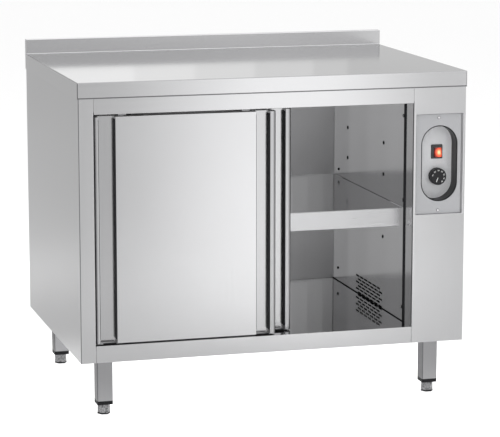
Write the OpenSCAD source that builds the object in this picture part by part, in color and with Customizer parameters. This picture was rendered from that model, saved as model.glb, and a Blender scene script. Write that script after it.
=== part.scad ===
/* [Cabinet] */
// Width over the worktop, left to right
cab_w = 1000; // [900:10:1200]
// Depth over the worktop, front to back
cab_d = 700; // [650:10:750]
// Height of the work surface above the floor, feet screwed in
worktop_h = 840; // [800:5:900]
// Height of the rear upstand above the work surface
upstand_h = 40; // [20:1:100]
// Thickness of the hollow upstand, front to back
upstand_t = 15; // [12:1:20]
// Height of the folded lip round the worktop
lip_h = 40; // [30:1:60]
// Step in from the worktop edge to the body on all sides
body_inset = 2; // [1.5:0.5:5]
// Thickness of the outer sheet
sheet = 1.2; // [0.8:0.1:1.5]
// Height of the underside of the body above the floor
body_bottom_z = 145.5; // [120:0.5:160]

/* [Opening] */
// Width of the left stile beside the opening
stile_w = 38; // [30:1:60]
// Width of the control column beside the opening
column_w = 138; // [120:1:180]
// Height of the floor of the chamber and the top of the bottom rail
floor_z = 188; // [180:1:200]
// Height of the lower edge of the top rail
opening_top_z = 761; // [700:1:770]
// Depth of the smooth jamb beside the opening
jamb_d = 50; // [40:1:60]

/* [Chamber] */
// Distance of the inner back wall from the centre of the cabinet
back_wall_y = 307; // [280:1:320]
// Height of the inner ceiling
ceiling_z = 785; // [780:1:795]
// Height of the upper face of the shelf
shelf_z = 485; // [400:1:620]
// Height of the folded front lip of the shelf
shelf_lip_h = 48; // [30:1:60]

/* [Doors] */
// Width of one sliding door
door_w = 460; // [440:1:470]
// Height of one sliding door
door_h = 563.5; // [540:0.5:563.5]
// Thickness of one sliding door
door_t = 25; // [25:1:27]
// Step from the front door to the rear door, front to back
door_step = 36; // [36:1:38]
// Clear height under the doors
door_gap = 3; // [2.8:0.1:4]
// Depth of the hand channels in the doors
channel_d = 23; // [18:1:23]
// Radius of the doors' outer front corners
door_r = 8; // [4:1:9]
// Radius of the door rollers
roller_r = 12; // [10:1:12]

/* [Controls] */
// Width of the control plate
plate_w = 120.5; // [110:0.5:122]
// Height of the control plate
plate_h = 254.5; // [230:0.5:260]
// Width of the pocket in the control plate
pocket_w = 97; // [90:1:100]
// Height of the pocket in the control plate
pocket_h = 194; // [180:1:200]
// Depth of the pocket behind the control plate
pocket_d = 36; // [30:1:40]
// Diameter of the thermostat knob
knob_d = 43; // [36:1:46]
// Depth of the thermostat knob
knob_t = 16; // [14:1:20]
// Swing of the switch rocker between its two positions, in degrees
rocker_swing = 16; // [10:1:18]

/* [Legs] */
// Width of the square leg tube
leg_w = 40; // [35:1:50]
// Step in from the worktop edge to the outer faces of the legs
leg_inset = 51.5; // [45:0.5:60]
// Height of the lower end of the leg tubes
leg_bottom_z = 32; // [28:1:60]
// Width of a foot across the corners
foot_w = 33; // [25:1:36]
// Length of the threaded stem above a foot
stem_l = 78; // [70:1:90]

/* [Hidden] */

smooth = 48;
stainless = "silver";
bright = "gainsboro";
black = "dimgray";

// Outer box and body box
right_x = cab_w / 2;
back_y = cab_d / 2;
front_y = -back_y;
body_x = right_x - body_inset;
body_y = back_y - body_inset;
lip_z = worktop_h - lip_h;
board_t = 19;
body_top_z = worktop_h - sheet - board_t;

// Opening between the stile and the column
open_left_x = -body_x + stile_w;
open_right_x = body_x - column_w;
jamb_back_y = -body_y + jamb_d;
bumper_d = 17;
bumper_proud = 3;

// Chamber walls stand 2 mm into the opening on both sides
wall_step = 2;
wall_left_x = open_left_x + wall_step;
wall_right_x = open_right_x - wall_step;
wall_front_y = jamb_back_y + bumper_d;
chamber_gap = 2;

// Shelf and the holes that its rails are screwed to
shelf_front_y = wall_front_y + 1.5;
shelf_back_y = back_wall_y - 6;
rail_t = 1.2;
rail_leg = 20;
shelf_hole_d = 6;
shelf_hole_ys = [-121, 181];
shelf_hole_pitch = 83;
shelf_hole_zs = [for (i = [-1 : 2]) shelf_z - 20.5 + i * shelf_hole_pitch];
rail_hole_z = shelf_z - 20.5;
rivet_y = 260;
screw_y = -275;
wall_screw_zs = [225, 504, 721];

// Louvre slots in the right wall, in staggered rows
slot_w = 26;
slot_h = 3.6;
slot_pitch = 34.7;
slot_row_pitch = 9.1;
slot_rows = 6;
slot_low_z = 191.5;
slot_first_y = -106;

// Sliding doors: stations across the door, measured from its left edge
door_sheet = 1;
door_front_y = -body_y + 5.5;
door_bottom_z = floor_z + door_gap;
door_top_z = door_bottom_z + door_h;
bead_left = 10.5;
face_left = 53.5;
face_right = door_w - 51;
bead_right = door_w - 15.5;
grip_t = 2;
grip_low = 10;
grip_high = door_h - 6.5;
hanger_us = [74, door_w - 74];
front_door_x = open_left_x + 1.5;
rear_door_x = front_door_x + 50;

// Door track, an E profile with a ledge for each door's rollers
track_t = 1.5;
ledge_top_z = opening_top_z + 8;
roller_z = ledge_top_z + roller_r + 0.3;
track_top_z = roller_z + roller_r + 5;
roller_w = 8;
roller_front_v = 6.5;
axle_d = 6;
running_gap = 0.05;
hanger_t = 2;
hanger_w = 20;
hanger_v = roller_front_v + roller_w + 2;
track_front_y = -body_y + sheet;
track_back_y = track_front_y + 68;
track_end_gap = 0.5;

// Control plate, set back in a shallow well in the column
plate_x = 428.5 - 498 + body_x;
plate_z = 604.25;
well_d = 5.3;
plate_t = 1.5;
plate_face_y = -body_y + well_d;
pocket_x = plate_x + 2.5;
pocket_z = plate_z + 1.25;
tray_t = 1.2;
tray_front_y = plate_face_y + plate_t + 1.5;
tray_floor_y = plate_face_y + plate_t + pocket_d;
controls_x = pocket_x + 6;
switch_z = pocket_z + 25;
knob_z = pocket_z - 37.5;
plate_screw_z = 118.5;

// Switch
bezel_w = 30;
bezel_h = 36;
bezel_t = 3;
rocker_w = 22;
rocker_r = 14.2;
rocker_proud = 7;
pivot_y = tray_floor_y - bezel_t - 1;

// Thermostat
shaft_d = 6;
bush_d = 10;
knob_back_y = tray_floor_y - 0.6;

// Fan and heater behind the louvres
service_x = wall_right_x + sheet;
fan_y = -11;
fan_z = 214;
duct_w = 70;
duct_y0 = -128;
duct_y1 = 106;
duct_z0 = 156;
duct_z1 = 274;
impeller_r = 38;
motor_x = service_x + duct_w;

// Legs and feet
leg_x = right_x - leg_inset - leg_w / 2;
leg_y = back_y - leg_inset - leg_w / 2 + 1.5;
leg_t = 1.5;
leg_plate_w = 90;
leg_plate_t = 3;
plug_h = 6;
foot_top_z = leg_bottom_z - plug_h - 0.3;
stem_d = 10;
gland_x = leg_x;
gland_y = 150;

// Box between two corners
module span(low, high) {
    translate(low) cube(high - low);
}

// Flat shape drawn in x and z, made solid between two depths
module front_slab(y0, y1) {
    translate([0, y1, 0]) rotate([90, 0, 0]) linear_extrude(y1 - y0) children();
}

// Flat shape drawn in y and z, made solid between two widths
module side_slab(x0, x1) {
    translate([x0, 0, 0]) rotate([90, 0, 90]) linear_extrude(x1 - x0) children();
}

// Upright slot outline with round ends, centred
module stadium(w, h) {
    for (s = [-1, 1]) translate([0, s * (h - w) / 2]) circle(d = w, $fn = 96);
    square([w, h - w], center = true);
}

// Rectangle with round corners, centred
module round_rect(w, h, r) {
    for (sx = [-1, 1], sy = [-1, 1])
        translate([sx * (w / 2 - r), sy * (h / 2 - r)]) circle(r, $fn = smooth);
    square([w, h - 2 * r], center = true);
    square([w - 2 * r, h], center = true);
}

// Round pin along the depth, from y0 to y1
module pin_y(d, x, z, y0, y1) {
    translate([x, y1, z]) rotate([90, 0, 0]) cylinder(d = d, h = y1 - y0, $fn = smooth);
}

// Round pin across the width, from x0 to x1
module pin_x(d, y, z, x0, x1) {
    translate([x0, y, z]) rotate([0, 90, 0]) cylinder(d = d, h = x1 - x0, $fn = smooth);
}

// Worktop: one folded sheet with lips on all sides and a hollow upstand
module worktop() {
    upstand_y = back_y - upstand_t;
    color(stainless) {
        span([-right_x, front_y, worktop_h - sheet], [right_x, upstand_y + sheet, worktop_h]);
        span([-right_x, front_y, lip_z], [right_x, front_y + sheet, worktop_h - sheet]);
        for (s = [0, 1])
            mirror([s, 0, 0])
                span([right_x - sheet, front_y + sheet, lip_z], [right_x, back_y, worktop_h - sheet]);
        span([-right_x, upstand_y, worktop_h], [right_x, upstand_y + sheet, worktop_h + upstand_h]);
        span([-right_x, upstand_y + sheet, worktop_h + upstand_h - sheet],
            [right_x, back_y, worktop_h + upstand_h]);
        span([-right_x + sheet, back_y - sheet, lip_z],
            [right_x - sheet, back_y, worktop_h + upstand_h - sheet]);
        for (s = [0, 1])
            mirror([s, 0, 0])
                span([right_x - sheet, upstand_y + sheet, worktop_h - sheet],
                    [right_x, back_y, worktop_h + upstand_h - sheet]);
    }
}

// Core board glued under the worktop sheet
module worktop_board() {
    edge = 4;
    color("burlywood")
        span([-right_x + edge, front_y + edge, body_top_z],
            [right_x - edge, back_y - upstand_t, body_top_z + board_t]);
}

// Left side: side sheet, front stile and the jamb folded back beside the opening
module left_side_panel() {
    color(stainless) {
        span([-body_x, -body_y + sheet, body_bottom_z], [-body_x + sheet, body_y, body_top_z]);
        span([-body_x, -body_y, body_bottom_z], [open_left_x, -body_y + sheet, body_top_z]);
        span([open_left_x - sheet, -body_y + sheet, floor_z - sheet],
            [open_left_x, jamb_back_y, ledge_top_z - track_t]);
    }
}

// Right side: flat sheet with a short flange behind the column's outer edge
module right_side_panel() {
    flange = 5;
    color(stainless) {
        span([body_x - sheet, -body_y + sheet, body_bottom_z], [body_x, body_y, body_top_z]);
        span([body_x - flange, -body_y + sheet, body_bottom_z],
            [body_x - sheet, -body_y + 2 * sheet, body_top_z]);
    }
}

// Outline of the well for the control plate
module well_outline(grow) {
    translate([plate_x, plate_z]) square([plate_w + 2 * grow, plate_h + 2 * grow], center = true);
}

// Control column: front sheet with the well, and the jamb folded back
module control_column() {
    gap = 1;
    seat_side = 6;
    seat_end = 14;
    color(stainless) {
        front_slab(-body_y, -body_y + sheet)
            difference() {
                translate([open_right_x, body_bottom_z])
                    square([column_w, body_top_z - body_bottom_z]);
                well_outline(gap);
            }
        front_slab(-body_y + sheet, plate_face_y + plate_t + sheet)
            difference() {
                well_outline(gap + sheet);
                well_outline(gap);
            }
        front_slab(plate_face_y + plate_t, plate_face_y + plate_t + sheet)
            difference() {
                well_outline(gap);
                translate([plate_x, plate_z])
                    square([plate_w - 2 * seat_side, plate_h - 2 * seat_end], center = true);
                for (s = [-1, 1])
                    translate([plate_x, plate_z + s * plate_screw_z]) circle(d = 4.2, $fn = smooth);
            }
        span([open_right_x, -body_y + sheet, floor_z - sheet],
            [open_right_x + sheet, jamb_back_y, ledge_top_z - track_t]);
    }
}

// Rear sheet between the two side panels
module rear_panel() {
    color(stainless)
        span([-body_x + sheet, body_y - sheet, body_bottom_z], [body_x - sheet, body_y, body_top_z]);
}

// Base sheet with holes for the four legs and the cable gland
module base_panel() {
    color(stainless)
        difference() {
            span([-body_x + sheet, -body_y + 2 * sheet, body_bottom_z],
                [body_x - sheet, body_y - sheet, body_bottom_z + sheet]);
            for (sx = [-1, 1], sy = [-1, 1])
                translate([sx * leg_x, sy * leg_y, body_bottom_z])
                    cube([leg_w + 0.4, leg_w + 0.4, 10], center = true);
            translate([gland_x, gland_y, body_bottom_z - 1]) cylinder(d = 20.4, h = 5, $fn = smooth);
        }
}

// Top rail over the opening, under the worktop lip
module top_front_rail() {
    color(stainless)
        span([open_left_x, -body_y, opening_top_z], [open_right_x, -body_y + sheet, body_top_z]);
}

// Bottom rail under the opening, folded back under the chamber floor
module bottom_front_rail() {
    flange = 30;
    color(stainless) {
        span([open_left_x, -body_y, body_bottom_z], [open_right_x, -body_y + sheet, floor_z]);
        span([open_left_x, -body_y + sheet, floor_z - 2 * sheet],
            [open_right_x, -body_y + sheet + flange, floor_z - sheet]);
        span([open_left_x, -body_y + sheet, body_bottom_z],
            [open_right_x, -body_y + 2 * sheet, body_bottom_z + 15]);
    }
}

// Bores in a chamber wall for the shelf rails, drawn across the width
module wall_bores(x) {
    for (y = shelf_hole_ys, z = shelf_hole_zs) pin_x(shelf_hole_d, y, z, x - 3, x + 3);
    for (z = wall_screw_zs) {
        pin_x(4, screw_y, z, x - 3, x + 3);
        pin_x(4, rivet_y, z, x - 3, x + 3);
    }
}

// Left wall of the chamber
module inner_left_wall() {
    color(bright)
        difference() {
            span([wall_left_x - sheet, wall_front_y, floor_z - sheet], [wall_left_x, back_wall_y, ceiling_z]);
            wall_bores(wall_left_x - sheet);
        }
}

// One louvre slot with round ends, drawn in y and z
module louvre(y, z) {
    translate([y, z]) {
        for (s = [-1, 1]) translate([s * (slot_w - slot_h) / 2, 0]) circle(d = slot_h, $fn = 24);
        square([slot_w - slot_h, slot_h], center = true);
    }
}

// Right wall of the chamber with six staggered rows of louvre slots
module inner_right_wall() {
    color(bright)
        difference() {
            span([wall_right_x, wall_front_y, floor_z - sheet],
                [wall_right_x + sheet, back_wall_y, ceiling_z]);
            wall_bores(wall_right_x);
            side_slab(wall_right_x - 1, wall_right_x + 3)
                for (row = [0 : slot_rows - 1])
                    for (i = [0 : 5])
                        louvre(slot_first_y + (i + (row % 2) / 2) * slot_pitch,
                            slot_low_z + row * slot_row_pitch);
        }
}

// Back wall of the chamber
module inner_back_wall() {
    color(bright)
        span([wall_left_x - sheet, back_wall_y, floor_z - sheet],
            [wall_right_x + sheet, back_wall_y + sheet, ceiling_z]);
}

// Ceiling of the chamber
module inner_ceiling() {
    color(bright)
        span([wall_left_x - sheet, track_back_y + 1, ceiling_z],
            [wall_right_x + sheet, back_wall_y + sheet, ceiling_z + sheet]);
}

// Floor of the chamber, narrower than the walls by a small gap
module chamber_floor() {
    color(bright) {
        span([open_left_x + 0.3, -body_y + sheet, floor_z - sheet],
            [open_right_x - 0.3, wall_front_y, floor_z]);
        span([wall_left_x + chamber_gap, wall_front_y, floor_z - sheet],
            [wall_right_x - chamber_gap, back_wall_y - chamber_gap, floor_z]);
    }
}

// Insulation boards: left, rear, top and floor
module insulation() {
    board = 30;
    color("khaki") {
        span([-body_x + sheet, wall_front_y, floor_z], [-body_x + sheet + board, back_wall_y, ceiling_z]);
        span([wall_left_x, back_wall_y + 6, floor_z], [wall_right_x, back_wall_y + 6 + board, ceiling_z]);
        span([wall_left_x, track_back_y + 4, ceiling_z + sheet],
            [wall_right_x, back_wall_y, ceiling_z + sheet + board]);
        span([-leg_x + leg_plate_w / 2 + 5, -body_y + 20, body_bottom_z + sheet + 3],
            [wall_right_x - 20, back_wall_y, floor_z - 2 * sheet - 1]);
    }
}

// Rubber strips that the doors close against, full height, one each side
module jamb_bumpers() {
    bumper_z = floor_z + 0.3;
    color("black") {
        span([open_right_x - bumper_proud, jamb_back_y, bumper_z],
            [open_right_x + sheet, wall_front_y, opening_top_z]);
        span([open_left_x - sheet, jamb_back_y, bumper_z],
            [open_left_x + bumper_proud, wall_front_y, opening_top_z]);
    }
}

// Shelf: flat sheet with a deep front lip, shorter than the shelf at both ends
module shelf() {
    lip_gap = 12;
    left = wall_left_x + chamber_gap;
    right = wall_right_x - chamber_gap;
    lip_back = 12;
    color(bright) {
        span([left, shelf_front_y, shelf_z - sheet], [right, shelf_back_y, shelf_z]);
        span([wall_left_x + lip_gap, shelf_front_y, shelf_z - shelf_lip_h],
            [wall_right_x - lip_gap, shelf_front_y + sheet, shelf_z - sheet]);
        span([wall_left_x + lip_gap, shelf_front_y + sheet, shelf_z - shelf_lip_h],
            [wall_right_x - lip_gap, shelf_front_y + lip_back, shelf_z - shelf_lip_h + sheet]);
        span([wall_left_x + rail_leg + 5, shelf_back_y - sheet, shelf_z - 25],
            [wall_right_x - rail_leg - 5, shelf_back_y, shelf_z - sheet]);
    }
}

// One angled rail under an end of the shelf with its two screws
module shelf_rail(side, x) {
    rail_y0 = -170;
    rail_y1 = 230;
    translate([x, 0, 0])
        mirror([side, 0, 0]) {
            difference() {
                span([0, rail_y0, shelf_z - sheet - 40], [rail_t, rail_y1, shelf_z - sheet - rail_t]);
                for (y = shelf_hole_ys) pin_x(5, y, rail_hole_z, -1, 3);
            }
            span([0, rail_y0, shelf_z - sheet - rail_t], [rail_leg, rail_y1, shelf_z - sheet]);
            for (y = shelf_hole_ys) {
                pin_x(4.9, y, rail_hole_z, -4, rail_t);
                pin_x(9, y, rail_hole_z, rail_t, rail_t + 2.5);
            }
        }
}

// Rails that carry the shelf on both walls
module shelf_brackets() {
    color(stainless) {
        shelf_rail(0, wall_left_x);
        shelf_rail(1, wall_right_x);
    }
}

// Domed head and shank of one wall fastener, pointing into the chamber
module wall_fastener(side, x, y, z, head_d) {
    dome_h = 1.6;
    dome_r = (head_d * head_d / 4 + dome_h * dome_h) / (2 * dome_h);
    translate([x, y, z])
        mirror([side, 0, 0])
            rotate([0, 90, 0]) {
                translate([0, 0, -4]) cylinder(d = 3.9, h = 4, $fn = 24);
                intersection() {
                    translate([0, 0, dome_h - dome_r]) sphere(dome_r, $fn = smooth);
                    cylinder(d = head_d, h = dome_h, $fn = smooth);
                }
            }
}

// Round-head screws near the door and rivets near the back, on both walls
module wall_rivets() {
    color("gray")
        for (z = wall_screw_zs, side = [0, 1]) {
            x = side == 0 ? wall_left_x : wall_right_x;
            wall_fastener(side, x, screw_y, z, 9);
            wall_fastener(side, x, rivet_y, z, 6.5);
        }
}

// Door track: top plate, front and middle webs, and a ledge for each door
module door_track() {
    x0 = open_left_x + track_end_gap;
    x1 = open_right_x - track_end_gap;
    web_y = track_front_y + door_step + 1.3;
    color(stainless) {
        span([x0, track_front_y, track_top_z], [x1, track_back_y, track_top_z + track_t]);
        span([x0, track_front_y, ledge_top_z - track_t], [x1, track_front_y + track_t, track_top_z]);
        span([x0, track_front_y + track_t, ledge_top_z - track_t], [x1, track_front_y + 17.8, ledge_top_z]);
        span([x0, web_y, ledge_top_z - track_t], [x1, web_y + track_t, track_top_z]);
        span([x0, web_y + track_t, ledge_top_z - track_t], [x1, track_front_y + 17.8 + door_step, ledge_top_z]);
    }
}

// Rubber block in the rear track that stops the rear door's left roller
module track_stop() {
    stop_w = 20;
    stop_h = 21;
    stop_x = rear_door_x + hanger_us[0] - roller_r - 0.4;
    stop_y = track_front_y + door_step + 1.3 + track_t;
    color("black")
        span([stop_x - stop_w, stop_y, ledge_top_z], [stop_x, stop_y + 14, ledge_top_z + stop_h]);
}

// Guide fin between the two doors, screwed to the chamber floor
module floor_guide() {
    fin_x = -40;
    fin_w = 40;
    fin_t = 6;
    fin_y = door_front_y + door_t + (door_step - door_t) / 2;
    color("black")
        front_slab(fin_y - fin_t / 2, fin_y + fin_t / 2)
            translate([fin_x, floor_z + 6]) round_rect(fin_w, 12, 3);
}

// Plan of the door's folded front sheet, from its left edge and front face
module door_skin_plan() {
    t = door_sheet;
    for (side = [0, 1]) {
        corner_u = side == 0 ? door_r : door_w - door_r;
        translate([corner_u, door_r])
            difference() {
                circle(door_r, $fn = smooth);
                circle(door_r - t, $fn = smooth);
                translate([-door_r, 0]) square([2 * door_r, door_r]);
                translate([side == 0 ? 0 : -door_r, -door_r]) square([door_r, 2 * door_r]);
            }
        translate([side == 0 ? 0 : door_w - t, door_r]) square([t, door_t - door_r]);
    }
    translate([door_r, 0]) square([bead_left - door_r, t]);
    translate([bead_left - t, 0]) square([t, channel_d]);
    translate([bead_left - t, channel_d]) square([face_left - bead_left + 2 * t, t]);
    translate([face_left, 0]) square([t, channel_d]);
    translate([face_left, 0]) square([face_right - face_left, t]);
    translate([face_right - t, 0]) square([t, channel_d]);
    translate([face_right - t, channel_d]) square([bead_right - face_right + 2 * t, t]);
    translate([bead_right, 0]) square([t, channel_d]);
    translate([bead_right, 0]) square([door_w - door_r - bead_right, t]);
}

// Plan of the closed end caps of the three hollow stretches of a door
module door_cap_plan() {
    t = door_sheet;
    translate([t, door_r]) square([bead_left - 2 * t, door_t - t - door_r]);
    translate([door_r, t]) square([bead_left - t - door_r, door_r]);
    translate([face_left + t, t]) square([face_right - face_left - 2 * t, door_t - 2 * t]);
    translate([bead_right + t, t]) square([door_w - door_r - bead_right - t, door_r]);
    translate([bead_right + t, door_r]) square([door_w - 2 * t - bead_right, door_t - t - door_r]);
}

// Folded front sheet of a door with its two hand channels and end caps
module door_skin(x, step) {
    color(stainless)
        translate([x, door_front_y + step, door_bottom_z])
            difference() {
                union() {
                    linear_extrude(door_h) door_skin_plan();
                    linear_extrude(door_sheet) door_cap_plan();
                    translate([0, 0, door_h - door_sheet]) linear_extrude(door_sheet) door_cap_plan();
                }
                for (u = hanger_us)
                    translate([u - hanger_w / 2 - 0.3, hanger_v - 0.3, door_h - 2])
                        cube([hanger_w + 0.6, hanger_t + 0.6, 4]);
            }
}

// Flat rear sheet of a door
module door_liner(x, step) {
    color(bright)
        translate([x + door_sheet, door_front_y + step + door_t - door_sheet, door_bottom_z])
            cube([door_w - 2 * door_sheet, door_sheet, door_h]);
}

// Insulation board in the wide hollow of a door
module door_core(x, step) {
    color("khaki")
        translate([x, door_front_y + step, door_bottom_z])
            span([face_left + 1.5, 1.5, 2], [face_right - 1.5, door_t - 1.5, door_h - 8]);
}

// Upright rubber strip with rounded front corners on one channel wall
module grip_strip(u) {
    strip_d = channel_d - 1;
    strip_h = grip_high - grip_low;
    translate([u, 0, grip_low])
        side_slab(0, grip_t)
            translate([0.5 + strip_d / 2, strip_h / 2]) round_rect(strip_d, strip_h, 8);
}

// Rubber strips on both walls of both hand channels of a door
module door_grips(x, step) {
    color("black")
        translate([x, door_front_y + step, door_bottom_z]) {
            grip_strip(bead_left);
            grip_strip(face_left - grip_t);
            grip_strip(face_right);
            grip_strip(bead_right - grip_t);
        }
}

// Hangers of a door: angled plates with a riveted axle each
module door_hangers(x, step) {
    axle_z = roller_z;
    foot_z = door_top_z - door_sheet;
    color("lightslategray")
        translate([x, door_front_y + step, 0])
            for (u = hanger_us) {
                front_slab(hanger_v, hanger_v + hanger_t) {
                    translate([u, axle_z]) circle(d = hanger_w, $fn = smooth);
                    translate([u - hanger_w / 2, foot_z - hanger_t])
                        square([hanger_w, axle_z - foot_z + hanger_t]);
                }
                span([u - hanger_w / 2, 3, foot_z - hanger_t], [u + hanger_w / 2, hanger_v, foot_z]);
                pin_y(axle_d, u, axle_z, roller_front_v - 1, hanger_v);
                pin_y(axle_d + 4, u, axle_z, roller_front_v - 2.2, roller_front_v - 0.4);
                pin_y(axle_d + 4, u, axle_z, roller_front_v + roller_w + 0.4, hanger_v);
            }
}

// Nylon guide blocks under the hand channels of a door
module door_guides(x, step) {
    low = 0.4;
    color("black")
        translate([x, door_front_y + step, 0]) {
            span([22.5, 1, floor_z + low], [58.5, door_t - 1, door_bottom_z]);
            span([22.5, 3, door_bottom_z], [49.5, channel_d - 1, door_bottom_z + 3]);
            span([411.5, 1, floor_z + low], [450.5, door_t - 1, door_bottom_z]);
            span([412.5, 3, door_bottom_z], [441.5, channel_d - 1, door_bottom_z + 3]);
        }
}

// Grooveless nylon roller on a hanger axle
module door_roller(x, step, u) {
    edge = 0.8;
    bore_d = axle_d + 2 * running_gap;
    color("white")
        translate([x + u, door_front_y + step + roller_front_v, roller_z])
            rotate([-90, 0, 0])
                rotate_extrude($fn = 96)
                    polygon([
                        [bore_d / 2, 0], [roller_r - edge, 0], [roller_r, edge],
                        [roller_r, roller_w - edge], [roller_r - edge, roller_w], [bore_d / 2, roller_w]
                    ]);
}

// Control plate with its stadium-shaped opening
module control_plate() {
    color("lightgray")
        front_slab(plate_face_y, plate_face_y + plate_t)
            difference() {
                translate([plate_x, plate_z]) round_rect(plate_w, plate_h, 2);
                translate([pocket_x, pocket_z]) stadium(pocket_w, pocket_h);
                for (s = [-1, 1])
                    translate([plate_x, plate_z + s * plate_screw_z]) circle(d = 4.4, $fn = smooth);
            }
}

// Deep tray behind the plate that holds the switch and the thermostat
module control_tray() {
    flange = 3;
    color("lightgray") {
        front_slab(tray_front_y, tray_front_y + tray_t)
            difference() {
                translate([pocket_x, pocket_z]) stadium(pocket_w + 2 * flange, pocket_h + 2 * flange);
                translate([pocket_x, pocket_z]) stadium(pocket_w - 4, pocket_h - 4);
            }
        front_slab(tray_front_y + tray_t, tray_floor_y)
            difference() {
                translate([pocket_x, pocket_z]) stadium(pocket_w - 4 + 2 * tray_t, pocket_h - 4 + 2 * tray_t);
                translate([pocket_x, pocket_z]) stadium(pocket_w - 4, pocket_h - 4);
            }
        front_slab(tray_floor_y, tray_floor_y + tray_t)
            difference() {
                translate([pocket_x, pocket_z]) stadium(pocket_w - 4 + 2 * tray_t, pocket_h - 4 + 2 * tray_t);
                translate([controls_x, switch_z]) square([27.4, 33.4], center = true);
                translate([controls_x, knob_z]) circle(d = bush_d + 0.2, $fn = smooth);
            }
    }
}

// Rubber ring between the plate and the tray's flange
module tray_gasket() {
    flange = 3;
    color("black")
        front_slab(plate_face_y + plate_t, tray_front_y)
            difference() {
                translate([pocket_x, pocket_z]) stadium(pocket_w + 2 * flange, pocket_h + 2 * flange);
                translate([pocket_x, pocket_z]) stadium(pocket_w - 2, pocket_h - 2);
            }
}

// Two round-head screws that hold the plate
module plate_screws() {
    color("gray")
        for (s = [-1, 1]) {
            z = plate_z + s * plate_screw_z;
            pin_y(4, plate_x, z, plate_face_y, plate_face_y + 10);
            pin_y(8, plate_x, z, plate_face_y - 2, plate_face_y);
        }
}

// Switch body: square bezel in front of the tray and a hollow case behind it
module switch_housing() {
    window_w = rocker_w + 1;
    window_h = 2 * rocker_r + 0.8;
    case_y = tray_floor_y + 30;
    well_y = tray_floor_y + 12;
    color("black")
        difference() {
            union() {
                front_slab(tray_floor_y - bezel_t, tray_floor_y)
                    translate([controls_x, switch_z]) round_rect(bezel_w, bezel_h, 2);
                front_slab(tray_floor_y, case_y)
                    translate([controls_x, switch_z]) square([27, 33], center = true);
            }
            front_slab(tray_floor_y - bezel_t - 1, well_y)
                translate([controls_x, switch_z]) square([window_w, window_h], center = true);
        }
}

// Lit rocker, a drum with a shallow V face, its top pressed in for ON
module switch_rocker() {
    tilt = -rocker_swing / 2;
    color("red")
        translate([controls_x - rocker_w / 2, pivot_y, switch_z])
            rotate([tilt, 0, 0])
                side_slab(0, rocker_w)
                    intersection() {
                        circle(rocker_r, $fn = 96);
                        polygon([
                            [9, -rocker_r - 1], [9, rocker_r + 1],
                            [-rocker_proud - 1.5, rocker_r + 1], [-rocker_proud + 1.5, 0],
                            [-rocker_proud - 1.5, -rocker_r - 1]
                        ]);
                    }
}

// Thermostat behind the tray with its threaded bush and nut in front
module thermostat_body() {
    case_w = 40;
    case_d = 30;
    bore_d = shaft_d + 2 * running_gap;
    back = tray_floor_y + tray_t;
    color("gray")
        difference() {
            union() {
                span([controls_x - case_w / 2, back, knob_z - case_w / 2],
                    [controls_x + case_w / 2, back + case_d, knob_z + case_w / 2]);
                pin_y(bush_d, controls_x, knob_z, tray_floor_y - 5, back);
                translate([controls_x, tray_floor_y, knob_z])
                    rotate([90, 0, 0]) cylinder(d = 14, h = 2.5, $fn = 6);
            }
            pin_y(bore_d, controls_x, knob_z, tray_floor_y - 6, back + case_d - 8);
        }
}

// Thermostat shaft, held in the knob and turning in the bush
module thermostat_shaft() {
    color("silver")
        pin_y(shaft_d, controls_x, knob_z, knob_back_y - 12, tray_floor_y + tray_t + 20);
}

// Knob with a domed rim edge, hollow behind for the bush and its nut
module control_knob() {
    r = knob_d / 2;
    edge = 2;
    color("black")
        translate([controls_x, knob_back_y, knob_z])
            rotate([90, 0, 0])
                rotate_extrude($fn = 96)
                    polygon([
                        [shaft_d / 2, 7], [9, 7], [9, 0], [r, 0], [r, knob_t - edge],
                        [r - edge, knob_t], [0, knob_t], [0, 12], [shaft_d / 2, 12]
                    ]);
}

// Air duct box on the louvres: open towards the chamber, with holes for shaft and heater
module fan_housing() {
    t = 1;
    color(stainless)
        difference() {
            span([service_x, duct_y0, duct_z0], [motor_x, duct_y1, duct_z1]);
            span([service_x - 1, duct_y0 + t, duct_z0 + t], [motor_x - t, duct_y1 - t, duct_z1 - t]);
            pin_x(9, fan_y, fan_z, motor_x - 5, motor_x + 1);
            for (s = [-1, 1]) pin_x(8, fan_y + s * 12, fan_z - 46, motor_x - 5, motor_x + 1);
        }
}

// Fan motor on the back of the duct
module fan_motor() {
    motor_d = 56;
    motor_l = 38;
    bore_d = 5.2;
    color("dimgray")
        difference() {
            union() {
                pin_x(motor_d, fan_y, fan_z, motor_x + 2, motor_x + 2 + motor_l);
                for (a = [45 : 90 : 315])
                    pin_x(6, fan_y + 22 * cos(a), fan_z + 22 * sin(a), motor_x, motor_x + 3);
            }
            pin_x(bore_d, fan_y, fan_z, motor_x - 1, motor_x + 26);
        }
}

// Fan wheel: hub, back plate, curved-back blades and front ring, on its shaft
module fan_impeller() {
    blade_l = 16;
    blade_w = 22;
    blades = 12;
    wheel_x = service_x + 34;
    color("slategray") {
        pin_x(2 * impeller_r, fan_y, fan_z, wheel_x + blade_w, wheel_x + blade_w + 1.5);
        pin_x(18, fan_y, fan_z, wheel_x + 4, wheel_x + blade_w);
        pin_x(5, fan_y, fan_z, wheel_x + 2, motor_x + 24);
        for (i = [0 : blades - 1])
            translate([wheel_x + blade_w / 2, fan_y, fan_z])
                rotate([i * 360 / blades, 0, 0])
                    translate([0, 0, impeller_r - blade_l / 2 - 1])
                        rotate([30, 0, 0]) cube([blade_w + 1, 1.2, blade_l], center = true);
        translate([wheel_x - 1.2, fan_y, fan_z])
            rotate([0, 90, 0])
                difference() {
                    cylinder(r = impeller_r, h = 1.5, $fn = 96);
                    translate([0, 0, -1]) cylinder(r = impeller_r - 15, h = 4, $fn = 96);
                }
    }
}

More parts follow.
